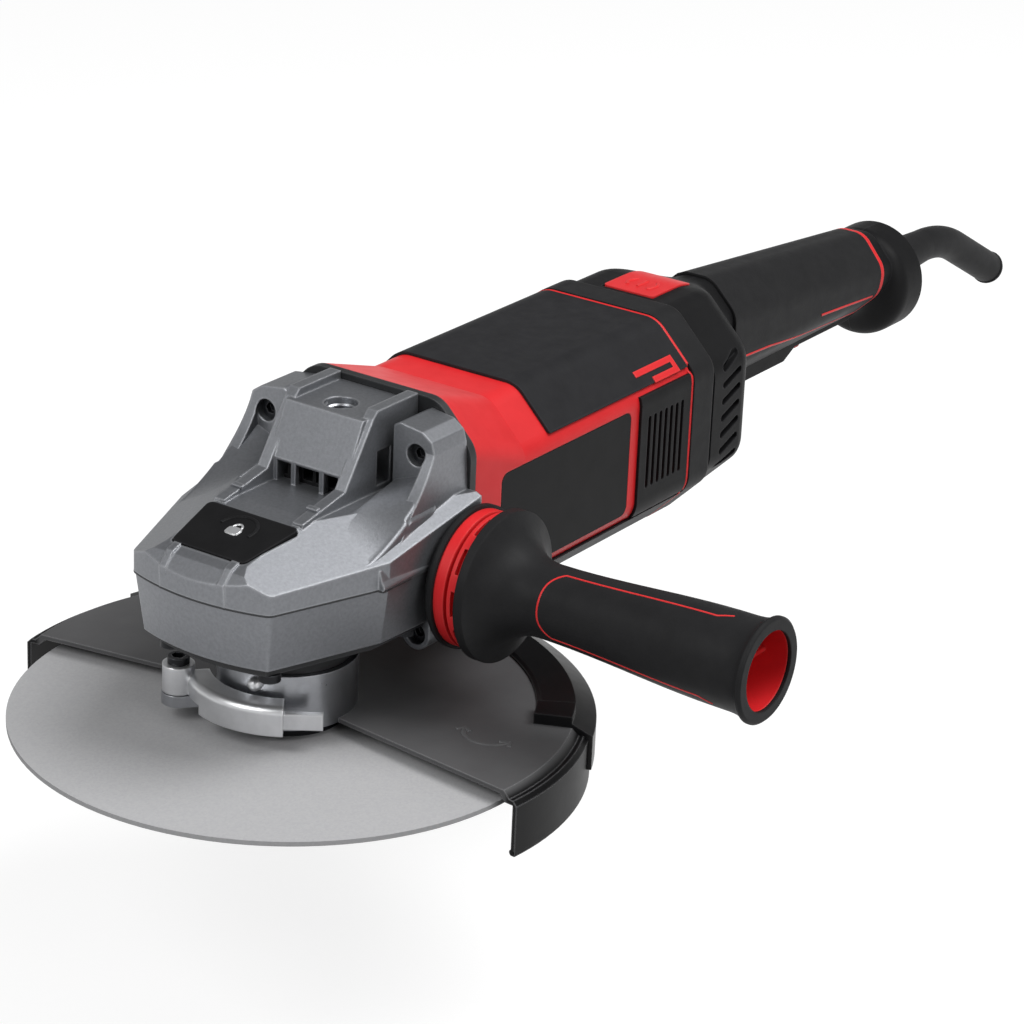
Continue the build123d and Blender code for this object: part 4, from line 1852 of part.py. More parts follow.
with BuildPart() as handle_core:
    with BuildSketch(SIDE_PLANE):
        with BuildLine():
            Polyline(
                (0, RING_START),
                (RING_RADIUS, RING_START),
                (RING_RADIUS, RING_START + RING_GROOVE_START),
                (RING_RADIUS - RING_GROOVE_DEPTH, RING_START + RING_GROOVE_START),
                (RING_RADIUS - RING_GROOVE_DEPTH, RING_START + RING_GROOVE_START + RING_GROOVE_WIDTH),
                (RING_RADIUS, RING_START + RING_GROOVE_START + RING_GROOVE_WIDTH),
                (RING_RADIUS, BELL_START),
                (CORE_RADIUS, BELL_START),
                (CORE_RADIUS, SIDE_END - 2 * MOUTH_DEPTH),
                (MOUTH_OUTER, SIDE_END - MOUTH_DEPTH),
                (MOUTH_OUTER, SIDE_END - CORE_WALL),
                (MOUTH_RADIUS, SIDE_END - CORE_WALL),
                (MOUTH_RADIUS, SIDE_END - MOUTH_DEPTH),
                (0, SIDE_END - MOUTH_DEPTH),
                close=True,
            )
        make_face()
    revolve(axis=SIDE_AXIS)
    with BuildSketch(SIDE_PLANE):
        Rectangle(STUD_RADIUS + SHAFT_GAP, STUD_GRIP, align=(Align.MIN, Align.MIN))
    revolve(axis=SIDE_AXIS, mode=Mode.SUBTRACT)
    # Cross rib in the open end
    mouth_plane = Plane(origin=SIDE_PLANE.origin, x_dir=(1, 0, 0), z_dir=(0, -1, 0))
    with BuildSketch(mouth_plane.offset(SIDE_END - MOUTH_DEPTH)):
        Rectangle(2 * MOUTH_RADIUS + CORE_WALL, CORE_WALL)
    extrude(amount=MOUTH_DEPTH / 2)
    # Short slots round the damping ring
    with BuildSketch(mouth_plane.offset(RING_START + RING_SLOT_START)):
        with PolarLocations(RING_RADIUS, RING_SLOTS):
            Rectangle(2 * RING_GROOVE_DEPTH, RING_SLOT_LENGTH)
    extrude(amount=RING_GROOVE_WIDTH, mode=Mode.SUBTRACT)

with BuildPart() as handle_grip:
    with BuildSketch(SIDE_PLANE):
        with BuildLine():
            bell = Spline(
                (BELL_RADIUS, BELL_START + RING_THICKNESS / 3),
                (GRIP_NECK_RADIUS, SIDE_GRIP_START),
                tangents=((-1, 0.35), (0, 1)),
            )
            body = Spline(
                bell @ 1,
                (GRIP_BODY_RADIUS, END_RING_START),
                tangents=((0, 1), (0, 1)),
            )
            lip = Spline(
                body @ 1,
                (GRIP_RING_RADIUS, SIDE_END - GRIP_RING_EDGE),
                tangents=((0, 1), (1, 1)),
            )
            Polyline(
                lip @ 1,
                (GRIP_RING_RADIUS, SIDE_END - GRIP_RING_EDGE / 2),
                (GRIP_RING_RADIUS - GRIP_RING_EDGE / 2, SIDE_END),
                (MOUTH_RADIUS, SIDE_END),
                (MOUTH_RADIUS, SIDE_END - CORE_WALL),
                (MOUTH_OUTER, SIDE_END - CORE_WALL),
                (MOUTH_OUTER, SIDE_END - MOUTH_DEPTH),
                (CORE_RADIUS, SIDE_END - 2 * MOUTH_DEPTH),
                (CORE_RADIUS, BELL_START),
                (BELL_RADIUS, BELL_START),
                bell @ 0,
            )
        make_face()
    revolve(axis=SIDE_AXIS)

# Finished pieces
PIECES = {
    "gear_housing": gear_housing,
    "lower_housing": lower_housing,
    "bearing_flange": bearing_flange,
    "bearing_plate": bearing_plate,
    "air_deflector": air_deflector,
    "head_screws": head_screws,
    "flange_screws": flange_screws,
    "bearing_retainer": bearing_retainer,
    "spindle_bearing_lower": spindle_bearing_lower,
    "spindle_bush": spindle_bush,
    "motor_bearing_front": motor_bearing_front,
    "motor_bearing_rear": motor_bearing_rear,
    "motor_housing": motor_housing,
    "top_cover": top_cover,
    "bottom_cover": bottom_cover,
    "side_panel_left": side_panel_left,
    "side_panel_right": side_panel_right,
    "vent_grille_left": vent_grille_left,
    "vent_grille_right": vent_grille_right,
    "bumper_ring": bumper_ring,
    "stator_core": stator_core,
    "field_coils": field_coils,
    "air_guide": air_guide,
    "brush_holders": brush_holders,
    "carbon_brushes": carbon_brushes,
    "handle_washer": handle_washer,
    "handle_stud": handle_stud,
    "handle_core": handle_core,
    "handle_grip": handle_grip,
    "spindle_shaft": spindle_shaft,
    "crown_gear": crown_gear,
    "inner_flange": inner_flange,
    "grinding_disc": grinding_disc,
    "clamp_nut": clamp_nut,
    "armature_shaft": armature_shaft,
    "pinion": pinion,
    "armature_core": armature_core,
    "armature_windings": armature_windings,
    "commutator": commutator,
    "cooling_fan": cooling_fan,
    "lock_button": lock_button,
    "lock_pin": lock_pin,
    "guard_shell": guard_shell,
    "rim_cover": rim_cover,
    "guard_collar": guard_collar,
    "lever_screw": lever_screw,
    "clamp_lever": clamp_lever,
    "handle_shell_left": handle_shell_left,
    "handle_shell_right": handle_shell_right,
    "grip_cover": grip_cover,
    "trim_ring": trim_ring,
    "handle_screws": handle_screws,
    "switch_block": switch_block,
    "trigger_pin": trigger_pin,
    "trigger": trigger,
    "lock_off": lock_off,
    "swivel_button": swivel_button,
    "cord_sleeve": cord_sleeve,
}

os.makedirs("parts", exist_ok=True)
for name, piece in PIECES.items():
    piece.part.label = name
    export_step(piece.part, f"parts/{name}.step")
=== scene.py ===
"""Looks of the angle grinder: finishes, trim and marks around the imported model.

Lengths are in metres in the machine's own frame, with +X from the spindle to the rear handle, +Z up
and the side handle on the -Y side. Sizes that a maker would give in millimetres carry the factor MM,
and turns among the sizes are in degrees.
"""

import json
import logging
from dataclasses import dataclass
from enum import Enum

import bmesh
import bpy
import numpy as np
from mathutils import Matrix, Vector
from mathutils.bvhtree import BVHTree

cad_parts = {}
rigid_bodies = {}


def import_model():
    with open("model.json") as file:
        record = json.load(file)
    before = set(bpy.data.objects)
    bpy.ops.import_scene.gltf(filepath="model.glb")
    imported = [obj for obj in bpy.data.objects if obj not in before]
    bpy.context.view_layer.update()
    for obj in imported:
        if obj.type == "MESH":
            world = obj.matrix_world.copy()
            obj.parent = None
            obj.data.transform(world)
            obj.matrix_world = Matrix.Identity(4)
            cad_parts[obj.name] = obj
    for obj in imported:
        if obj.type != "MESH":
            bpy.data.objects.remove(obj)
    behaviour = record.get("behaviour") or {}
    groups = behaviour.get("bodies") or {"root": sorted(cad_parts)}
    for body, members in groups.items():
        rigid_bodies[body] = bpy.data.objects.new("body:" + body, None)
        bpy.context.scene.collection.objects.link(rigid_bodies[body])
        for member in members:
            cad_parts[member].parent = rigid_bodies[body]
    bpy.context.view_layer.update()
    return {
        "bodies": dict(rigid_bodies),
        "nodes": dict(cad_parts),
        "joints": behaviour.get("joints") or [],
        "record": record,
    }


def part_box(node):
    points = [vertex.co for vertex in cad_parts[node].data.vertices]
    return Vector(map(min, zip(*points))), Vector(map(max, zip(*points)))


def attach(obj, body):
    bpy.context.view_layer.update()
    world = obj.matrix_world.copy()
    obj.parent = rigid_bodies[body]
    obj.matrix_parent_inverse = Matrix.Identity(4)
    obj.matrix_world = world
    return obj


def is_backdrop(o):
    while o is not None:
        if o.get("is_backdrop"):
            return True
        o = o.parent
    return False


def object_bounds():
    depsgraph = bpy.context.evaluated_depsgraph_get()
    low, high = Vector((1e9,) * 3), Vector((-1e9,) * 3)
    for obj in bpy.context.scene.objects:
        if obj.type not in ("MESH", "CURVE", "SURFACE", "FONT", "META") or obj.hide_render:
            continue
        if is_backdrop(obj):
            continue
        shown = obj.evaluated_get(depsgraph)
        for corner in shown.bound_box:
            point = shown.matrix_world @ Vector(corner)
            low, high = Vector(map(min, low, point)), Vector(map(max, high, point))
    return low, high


Array = np.ndarray
Faces = list[list[int]]
Surface = tuple[Array, Faces]
Pair = tuple[float, float]
Triple = tuple[float, float, float]
Socket = bpy.types.NodeSocket
Tree = bpy.types.NodeTree

LOG = logging.getLogger("grinder")
MM = 0.001

# Height of the motor axis
AXIS_HEIGHT = 84.0 * MM
# Lines to a surface start this far out, clear of every node that trim is laid on
CLEAR = 0.2
DOWN = (0.0, 0.0, -1.0)
SIDES = {"left": 1, "right": -1}
# Points that lie closer than this are one, and edges that bend more than this turn stay sharp
MERGE_DISTANCE = 1e-6
SHARP_TURN = 40.0
# Points over the round of a bead, and over that of a thin line
BEAD_POINTS = 9
LINE_POINTS = 5

# Levels of the soft noise at which one shade begins to pass into the other and is through
MOTTLE_START, MOTTLE_END = 0.35, 0.75
# Cosine between the rounded and the flat normal at which the painted edge highlight, which also stands for
# wear, starts and is full
HIGHLIGHT_AND_WEAR_START, HIGHLIGHT_AND_WEAR_FULL = 0.995, 0.85
# Level of the bands at which a dark seam has passed into its layer
SEAM_END = 0.4
BEVEL_SAMPLES = 4
SOFT_NOISE = {"Detail": 3.0, "Roughness": 0.55}
FINE_NOISE = {"Detail": 2.0, "Roughness": 0.55}
# Colour sockets of a mix node, which has a set of sockets for each type of data
MIX_FIRST, MIX_SECOND, MIX_RESULT = 6, 7, 2


class Body(Enum):
    """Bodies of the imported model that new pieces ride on."""

    MACHINE = "machine"
    SPINDLE_LOCK = "spindle_lock"
    GUARD = "guard"
    REAR_HANDLE = "rear_handle"
    SWIVEL_BUTTON = "swivel_button"


class Slot(Enum):
    """Material slots of the record."""

    CAST_ALLOY = "cast_alloy"
    DARK_CASTING = "dark_casting"
    POLISHED_CASTING = "polished_casting"
    BLACK_STEEL = "black_steel"
    STEEL = "steel"
    BRONZE = "bronze"
    COPPER = "copper"
    LAMINATION = "lamination"
    CARBON = "carbon"
    ABRASIVE = "abrasive"
    GUARD_PAINT = "guard_paint"
    GUARD_COVER = "guard_cover"
    RED_PLASTIC = "red_plastic"
    BLACK_PLASTIC = "black_plastic"
    PANEL_PLASTIC = "panel_plastic"
    COVER_PLASTIC = "cover_plastic"
    RUBBER = "rubber"


class Axis(Enum):
    """Axes along which the bands of a finish follow each other."""

    X = "X"
    Y = "Y"
    Z = "Z"


# Shader helpers


def linear(colour: str) -> tuple[float, float, float, float]:
    """Turns an sRGB colour into linear light, by the two parts of the sRGB curve.

    Args:
        colour: hex value such as "#d42a2b".

    Returns:
        Linear red, green and blue, and full alpha.
    """
    levels = np.array([int(colour[start:start + 2], 16) for start in (1, 3, 5)]) / 255
    values = np.where(levels <= 0.04045, levels / 12.92, ((levels + 0.055) / 1.055) ** 2.4)
    return (*values.tolist(), 1.0)


def per_metre(size_mm: float) -> float:
    """Scale of a pattern whose features have a size in millimetres."""
    return 1 / (size_mm * MM)


def empty_tree(owner: bpy.types.Material | bpy.types.World) -> Tree:
    """Switches a material or world to nodes and clears those that come with it.

    Args:
        owner: the material or world.

    Returns:
        Its node tree.
    """
    owner.use_nodes = True
    owner.node_tree.nodes.clear()
    return owner.node_tree


def add_node(tree: Tree, kind: str, inputs: dict | None = None, **settings: object) -> bpy.types.Node:
    """Adds a shader node with its settings and links.

    Args:
        tree: node tree that gets the node.
        kind: name of the type of node.
        inputs: value or linked output for each input, by the input's name or number.
        **settings: properties of the node itself, such as its operation.

    Returns:
        The new node.
    """
    node = tree.nodes.new(kind)
    for name, value in settings.items():
        setattr(node, name, value)
    for key, value in (inputs or {}).items():
        if isinstance(value, Socket):
            tree.links.new(value, node.inputs[key])
        else:
            node.inputs[key].default_value = value
    return node


# Finishes


@dataclass(frozen=True)
class Finish:
    """Surface with mottled colour, uneven gloss, fine relief and worn edges.

    Two shades are mixed by a soft noise, one of half its size varies the gloss, and a finer noise gives
    the relief. Edges are rounded in the shading by edge_mm, and there a lighter colour is painted in by the
    share that the finish gives: a painted highlight along the edges, which also stands for wear. The sheen
    is the level of mirror reflection, half for a smooth surface and less for one whose grain breaks it up.
    """

    name: str
    colour: str
    shade: str
    roughness: float
    spread: float = 0.06
    mottle_mm: float = 12.0
    grain_mm: float = 0.6
    relief_mm: float = 0.02
    metallic: float = 0.0
    ior: float = 1.5
    sheen: float = 0.5
    edge_mm: float = 0.5
    # Share and colour of a painted highlight along the edges, which also stands for wear
    highlight_and_wear: float = 0.0
    highlight_and_wear_colour: str = "#ffffff"

    def material(self) -> bpy.types.Material:
        """Builds the node tree of this finish.

        Returns:
            A material whose colour, roughness and normal come from its own nodes.
        """
        material = bpy.data.materials.new(self.name)
        material.diffuse_color = linear(self.colour)
        tree = empty_tree(material)
        place = add_node(tree, "ShaderNodeTexCoord").outputs["Object"]
        shader = add_node(
            tree,
            "ShaderNodeBsdfPrincipled",
            {
                "Base Color": self.edges(tree, self.paint(tree, place)),
                "Roughness": self.gloss(tree, place),
                "Normal": self.relief(tree, place),
                "Metallic": self.metallic,
                "IOR": self.ior,
                "Specular IOR Level": self.sheen,
            },
        )
        add_node(tree, "ShaderNodeOutputMaterial", {"Surface": shader.outputs["BSDF"]})
        return material

    def paint(self, tree: Tree, place: Socket) -> Socket:
        """Mixes the two shades by the soft noise.

        Args:
            tree: node tree of the material.
            place: coordinates that the pattern lies on.

        Returns:
            The colour.
        """
        inputs = {"Vector": place, "Scale": per_metre(self.mottle_mm), **SOFT_NOISE}
        mottle = add_node(tree, "ShaderNodeTexNoise", inputs)
        ramp = add_node(tree, "ShaderNodeValToRGB", {"Fac": mottle.outputs["Fac"]})
        first, last = ramp.color_ramp.elements
        first.position, last.position = MOTTLE_START, MOTTLE_END
        first.color, last.color = linear(self.colour), linear(self.shade)
        return ramp.outputs["Color"]

    def edges(self, tree: Tree, colour: Socket) -> Socket:
        """Paints a highlight on the edges, which also stands for wear, by how far the rounded normal leaves
        the flat one.

        Args:
            tree: node tree of the material.
            colour: colour without the painted edge highlight.

        Returns:
            The colour with the painted edge highlight, which also stands for wear.
        """
        if not self.highlight_and_wear:
            return colour
        rounded = add_node(tree, "ShaderNodeBevel", {"Radius": 2 * self.edge_mm * MM}, samples=BEVEL_SAMPLES)
        flat = add_node(tree, "ShaderNodeNewGeometry")
        inputs = {0: rounded.outputs["Normal"], 1: flat.outputs["Normal"]}
        cosine = add_node(tree, "ShaderNodeVectorMath", inputs, operation="DOT_PRODUCT").outputs["Value"]
        inputs = {"Value": cosine, "From Min": HIGHLIGHT_AND_WEAR_START, "From Max": HIGHLIGHT_AND_WEAR_FULL, "To Max": self.highlight_and_wear}
        share = add_node(tree, "ShaderNodeMapRange", inputs).outputs["Result"]
        inputs = {"Factor": share, MIX_FIRST: colour, MIX_SECOND: linear(self.highlight_and_wear_colour)}
        return add_node(tree, "ShaderNodeMix", inputs, data_type="RGBA").outputs[MIX_RESULT]

    def gloss(self, tree: Tree, place: Socket) -> Socket:
        """Lets the roughness wander round its mean by the spread.

        Args:
            tree: node tree of the material.
            place: coordinates that the pattern lies on.

        Returns:
            The roughness.
        """
        inputs = {"Vector": place, "Scale": per_metre(self.mottle_mm / 2), **SOFT_NOISE}
        inputs = {"Value": add_node(tree, "ShaderNodeTexNoise", inputs).outputs["Fac"]}
        inputs |= {"To Min": self.roughness - self.spread, "To Max": self.roughness + self.spread}
        return add_node(tree, "ShaderNodeMapRange", inputs).outputs["Result"]

    def height(self, tree: Tree, place: Socket) -> Socket:
        """Relief from 0 to 1: the fine noise of the grain."""
        inputs = {"Vector": place, "Scale": per_metre(self.grain_mm), **FINE_NOISE}
        return add_node(tree, "ShaderNodeTexNoise", inputs).outputs["Fac"]

    def relief(self, tree: Tree, place: Socket) -> Socket:
        """Rounds the edges and lays the relief on top.

        Args:
            tree: node tree of the material.
            place: coordinates that the pattern lies on.

        Returns:
            The normal.
        """
        rounded = add_node(tree, "ShaderNodeBevel", {"Radius": self.edge_mm * MM}, samples=BEVEL_SAMPLES)
        inputs = {"Height": self.height(tree, place), "Distance": self.relief_mm * MM}
        inputs |= {"Normal": rounded.outputs["Normal"], "Strength": 1.0}
        return add_node(tree, "ShaderNodeBump", inputs).outputs["Normal"]


@dataclass(frozen=True)
class BlastedCasting(Finish):
    """Die-cast metal, shot-blasted: small dents beside each other, made uneven by a noise."""

    dent_mm: float = 0.8

    def height(self, tree: Tree, place: Socket) -> Socket:
        """Dents by the distance to the nearest cell centre, times a noise that blurs them.

        Args:
            tree: node tree of the material.
            place: coordinates that the pattern lies on.

        Returns:
            The relief, from 0 to 1.
        """
        inputs = {"Vector": place, "Scale": per_metre(self.dent_mm)}
        dents = add_node(tree, "ShaderNodeTexVoronoi", inputs).outputs["Distance"]
        inputs = {"Vector": place, "Scale": per_metre(self.grain_mm), **SOFT_NOISE}
        blur = add_node(tree, "ShaderNodeTexNoise", inputs).outputs["Fac"]
        return add_node(tree, "ShaderNodeMath", {0: dents, 1: blur}, operation="MULTIPLY").outputs["Value"]


@dataclass(frozen=True)
class TurnedMetal(Finish):
    """Metal turned on a lathe: rings from the cutting tool along an axis, drawn coarse so that they show."""

    ring_mm: float = 0.8
    waver: float = 0.3
    axis: Axis = Axis.Z

    def height(self, tree: Tree, place: Socket) -> Socket:
        """Relief: bands along the axis, about a ring wide and bent a little by noise."""
        inputs = {"Vector": place, "Scale": per_metre(np.pi * self.ring_mm), "Distortion": self.waver}
        return add_node(tree, "ShaderNodeTexWave", inputs, bands_direction=self.axis.value).outputs["Fac"]


@dataclass(frozen=True)
class LayeredMetal(TurnedMetal):
    """Stacked sheet or wound wire: even bands, dark in the seams between the layers."""

    def paint(self, tree: Tree, place: Socket) -> Socket:
        """Lays the main shade on the layers and the second shade in the seams.

        Args:
            tree: node tree of the material.
            place: coordinates that the pattern lies on.

        Returns:
            The colour.
        """
        ramp = add_node(tree, "ShaderNodeValToRGB", {"Fac": self.height(tree, place)})
        seam, layer = ramp.color_ramp.elements
        layer.position = SEAM_END
        seam.color, layer.color = linear(self.shade), linear(self.colour)
        return ramp.outputs["Color"]


@dataclass(frozen=True)
class BondedGrit(Finish):
    """Bonded abrasive: an even pale face with grit just showing as small darker specks."""

    grit_mm: float = 0.9

    def paint(self, tree: Tree, place: Socket) -> Socket:
        """Picks a shade between the two for each cell of the grit's size.

        Args:
            tree: node tree of the material.
            place: coordinates that the pattern lies on.

        Returns:
            The colour.
        """
        inputs = {"Vector": place, "Scale": per_metre(self.grit_mm)}
        specks = add_node(tree, "ShaderNodeTexVoronoi", inputs).outputs["Color"]
        share = add_node(tree, "ShaderNodeSeparateColor", {"Color": specks}).outputs["Red"]
        inputs = {"Factor": share, MIX_FIRST: linear(self.colour), MIX_SECOND: linear(self.shade)}
        return add_node(tree, "ShaderNodeMix", inputs, data_type="RGBA").outputs[MIX_RESULT]


@dataclass(frozen=True)
class GuardPaint(Finish):
    """Painted sheet steel: satin grey on the plate, black on the skirt outside the step."""

    skirt: str = "#0e0e0f"
    skirt_radius: float = 120.5 * MM
    blend: float = 1.0 * MM

    def paint(self, tree: Tree, place: Socket) -> Socket:
        """Lays the mottled grey inside the step's radius and the skirt's black outside it.

        Args:
            tree: node tree of the material.
            place: coordinates that the pattern lies on.

        Returns:
            The colour.
        """
        inputs = {0: place, 1: (1.0, 1.0, 0.0)}
        flat = add_node(tree, "ShaderNodeVectorMath", inputs, operation="MULTIPLY").outputs["Vector"]
        radius = add_node(tree, "ShaderNodeVectorMath", {0: flat}, operation="LENGTH").outputs["Value"]
        inputs = {"Value": radius, "From Min": self.skirt_radius - self.blend}
        inputs |= {"From Max": self.skirt_radius + self.blend}
        share = add_node(tree, "ShaderNodeMapRange", inputs).outputs["Result"]
        inputs = {"Factor": share, MIX_FIRST: super().paint(tree, place), MIX_SECOND: linear(self.skirt)}
        return add_node(tree, "ShaderNodeMix", inputs, data_type="RGBA").outputs[MIX_RESULT]


# Each finish starts from the real material and how its surface was made
# A lighter edge colour in a finish is a painted highlight along the edges, which also stands for wear
FINISHES: dict[Slot, Finish] = {
    # Blasted aluminium: soft silver grey, broad highlights and a fine sparkle of dents
    Slot.CAST_ALLOY: BlastedCasting(
        "blasted_aluminium", "#7f8185", "#75777b", roughness=0.4, mottle_mm=1.4, grain_mm=0.5,
        relief_mm=0.045, metallic=0.75, edge_mm=0.9, highlight_and_wear=0.5, highlight_and_wear_colour="#c3c5c9",
    ),
    # Black coated casting: dark satin with the same dents, softened by the coat
    Slot.DARK_CASTING: BlastedCasting(
        "coated_casting", "#222325", "#1a1b1c", roughness=0.5, relief_mm=0.03, metallic=0.2,
        edge_mm=0.6, highlight_and_wear=0.25, highlight_and_wear_colour="#6d6f72",
    ),
    # Tumbled die-cast zinc: bright, with rounded edges and slow waves in the shine
    Slot.POLISHED_CASTING: Finish(
        "tumbled_zinc", "#d6d7d9", "#c9cacc", roughness=0.34, mottle_mm=8.0, grain_mm=4.0,
        relief_mm=0.03, metallic=0.8, edge_mm=1.0, highlight_and_wear=0.4, highlight_and_wear_colour="#f0f0f0",
    ),
    # Black oxide on steel screws: near black with an oily shine
    Slot.BLACK_STEEL: Finish(
        "black_oxide_steel", "#232427", "#17181a", roughness=0.34, metallic=0.7, highlight_and_wear=0.4, highlight_and_wear_colour="#77797d",
    ),
    # Machined steel: bright grey with tool rings
    Slot.STEEL: TurnedMetal(
        "turned_steel", "#b7b9bd", "#a3a5a9", roughness=0.3, relief_mm=0.01, metallic=1.0,
    ),
    # Sintered bronze: a dull warm yellow, as the pores spread the shine
    Slot.BRONZE: TurnedMetal(
        "sintered_bronze", "#b58a4a", "#9a7038", roughness=0.45, relief_mm=0.01, metallic=1.0,
    ),
    # Enamelled copper wire: warm bands a wire wide
    Slot.COPPER: LayeredMetal(
        "enamelled_copper", "#b8693a", "#5b2a14", roughness=0.35, relief_mm=0.2, metallic=0.9, axis=Axis.Y,
    ),
    # Stacked electrical sheet: grey plates with dark seams, drawn 0.8 mm thick so that they show
    Slot.LAMINATION: LayeredMetal(
        "stacked_sheet", "#77797c", "#3a3b3d", roughness=0.5, relief_mm=0.05, metallic=0.8, axis=Axis.X,
    ),
    # Pressed carbon: dull near-black with a fine powdery grain
    Slot.CARBON: Finish("pressed_carbon", "#2a2a2b", "#1c1c1d", roughness=0.7, grain_mm=0.4),
    # Bonded disc: flat pale grey and fully matte
    Slot.ABRASIVE: BondedGrit(
        "bonded_grit", "#a8a8a9", "#a2a2a4", roughness=0.95, spread=0.02, ior=1.3, edge_mm=0.2,
    ),
    # Stove enamel on sheet steel: satin with a slight orange-peel skin
    Slot.GUARD_PAINT: GuardPaint(
        "stove_enamel", "#555556", "#4e4e4f", roughness=0.42, sheen=0.12, mottle_mm=30.0, grain_mm=1.6,
        relief_mm=0.015, highlight_and_wear=0.5, highlight_and_wear_colour="#9a9a9c",
    ),
    # Moulded polyamide on the guard's rim: deep black with a smooth shine
    Slot.GUARD_COVER: Finish(
        "glossy_polyamide", "#0d0d0e", "#0a0a0b", roughness=0.34, sheen=0.2, grain_mm=0.9, highlight_and_wear=0.2,
        highlight_and_wear_colour="#5a5a5c",
    ),
    # Satin red ABS: even colour, spark-eroded grain
    Slot.RED_PLASTIC: Finish(
        "red_abs", "#cf2428", "#c82024", roughness=0.42, sheen=0.25, grain_mm=0.7, relief_mm=0.015,
        edge_mm=0.8, highlight_and_wear=0.25, highlight_and_wear_colour="#f05a55",
    ),
    # Glass-filled black polyamide: fine matte grain
    Slot.BLACK_PLASTIC: Finish(
        "black_polyamide", "#161617", "#121213", roughness=0.5, sheen=0.1, grain_mm=0.7, relief_mm=0.03,
        edge_mm=0.7, highlight_and_wear=0.2, highlight_and_wear_colour="#4a4a4d",
    ),
    # Foil on the side panels: deep black and smooth, with a satin shine
    Slot.PANEL_PLASTIC: Finish(
        "label_foil", "#0e0e0f", "#0c0c0d", roughness=0.4, sheen=0.08, mottle_mm=25.0, grain_mm=0.5,
        relief_mm=0.006, edge_mm=0.3,
    ),
    # Moulded covers with a spark-eroded grain: charcoal, with a soft broken shine
    Slot.COVER_PLASTIC: Finish(
        "grained_cover", "#222224", "#1d1d1f", roughness=0.55, sheen=0.12, grain_mm=0.8, relief_mm=0.035,
        edge_mm=0.8, highlight_and_wear=0.2, highlight_and_wear_colour="#4a4a4d",
    ),
    # Soft thermoplastic rubber: dull, with a slightly dusty grain
    Slot.RUBBER: Finish(
        "soft_grip_rubber", "#222223", "#1d1d1e", roughness=0.52, sheen=0.1, grain_mm=0.9, relief_mm=0.04,
        edge_mm=1.0,
    ),
}


class Paintbox:
    """Makes each finish once and hands it to nodes and pieces."""

    def __init__(self) -> None:
        """Starts with no material made."""
        self.made: dict[Slot, bpy.types.Material] = {}

    def material(self, slot: Slot) -> bpy.types.Material:
        """Finds the material of a slot, and builds it at its first use.

        Args:
            slot: the slot.

        Returns:
            Its material.
        """
        if slot not in self.made:
            self.made[slot] = FINISHES[slot].material()
        return self.made[slot]

    def dress_nodes(self, frame: dict) -> None:
        """Gives each CAD node the finish of its slot in the record.

        Args:
            frame: the loaded frame, with its nodes and record.
        """
        for part in frame["record"]["subparts"]:
            mesh = frame["nodes"][part["node"]].data
            mesh.materials.clear()
            mesh.materials.append(self.material(Slot(part["material_slot"])))


# Lines and surfaces


def unit(vectors: Array) -> Array:
    """Vectors scaled to length one along the last axis."""
    return vectors / np.linalg.norm(vectors, axis=-1, keepdims=True)


def arc(centre: Array, first: Array, second: Array, turns: Pair, count: int) -> Array:
    """Part of an ellipse: centre + first * cos(turn) + second * sin(turn), in equal steps of the turn.

    Args:
        centre: middle of the ellipse.
        first: half axis at no turn.
        second: half axis at a quarter turn.
        turns: turn at the start and at the end.
        count: number of points.

    Returns:
        The points, one per row.
    """
    turn = np.radians(np.linspace(*turns, count))[:, None]
    return centre + first * np.cos(turn) + second * np.sin(turn)


def even_points(corners: Array, count: int) -> Array:
    """Points along a line with corners, in equal steps of its length.

    Args:
        corners: corners of the line, one per row.
        count: number of points.

    Returns:
        The points, one per row.
    """
    lengths = np.concatenate([[0], np.cumsum(np.linalg.norm(np.diff(corners, axis=0), axis=1))])
    along = np.linspace(0, lengths[-1], count)
    return np.stack([np.interp(along, lengths, column) for column in corners.T], -1)


def grid_faces(rows: int, columns: int, wrap_rows: bool = False, wrap_columns: bool = False) -> Faces:
    """Quads of a grid of points that are numbered row by row.

    Args:
        rows: number of rows of points.
        columns: number of points in a row.
        wrap_rows: joins the last row to the first.
        wrap_columns: joins the last point of each row to the first.

    Returns:
        Four point numbers for each quad.
    """
    row, column = np.meshgrid(
        np.arange(rows if wrap_rows else rows - 1),
        np.arange(columns if wrap_columns else columns - 1),
        indexing="ij",
    )
    next_row = (row + 1) % rows
    next_column = (column + 1) % columns
    corners = (row * columns + column, next_row * columns + column)
    corners += (next_row * columns + next_column, row * columns + next_column)
    return np.stack(corners, -1).reshape(-1, 4).tolist()


def tube_faces(rows: int, columns: int) -> Faces:
    """Faces of a tube of closed sections, one per row, with a cap on the first and the last.

    Args:
        rows: number of sections.
        columns: number of points in a section.

    Returns:
        Point numbers of each face.
    """
    section = np.arange(columns)
    caps = [section.tolist(), ((rows - 1) * columns + section)[::-1].tolist()]
    return grid_faces(rows, columns, wrap_columns=True) + caps


def bead(path: Array, up: Array, width: float, height: float, sink: float,
         points_across: int = BEAD_POINTS, closed: bool = False) -> Surface:
    """Half-round bead carried along a path on a surface.

    The section is the upper half of an ellipse, width across and height tall, closed below by a flat base
    that lies sink under the path. At each path point it stands on the side and up directions there.

    Args:
        path: points along the bead's foot, one per row.
        up: direction away from the surface, at each point or for all.
        width: width of the bead.
        height: height over the surface.
        sink: depth of the base under the surface.
        points_across: points over the half ellipse.
        closed: joins the end to the start, otherwise both ends get a cap.

    Returns:
        Points in a grid of path by section, and the faces.
    """
    ahead = np.gradient(path, axis=0)
    if closed:
        ahead = np.roll(path, -1, axis=0) - np.roll(path, 1, axis=0)
    up = unit(np.broadcast_to(up, path.shape))
    side = unit(np.cross(ahead, up))
    turn = np.linspace(0, np.pi, points_across)
    across = np.concatenate([width / 2 * np.cos(turn), [-width / 2, width / 2]])
    above = np.concatenate([height * np.sin(turn), [-sink, -sink]])
    points = path[:, None] + side[:, None] * across[:, None] + up[:, None] * above[:, None]
    if closed:
        return points, grid_faces(len(path), len(across), wrap_rows=True, wrap_columns=True)
    return points, tube_faces(len(path), len(across))


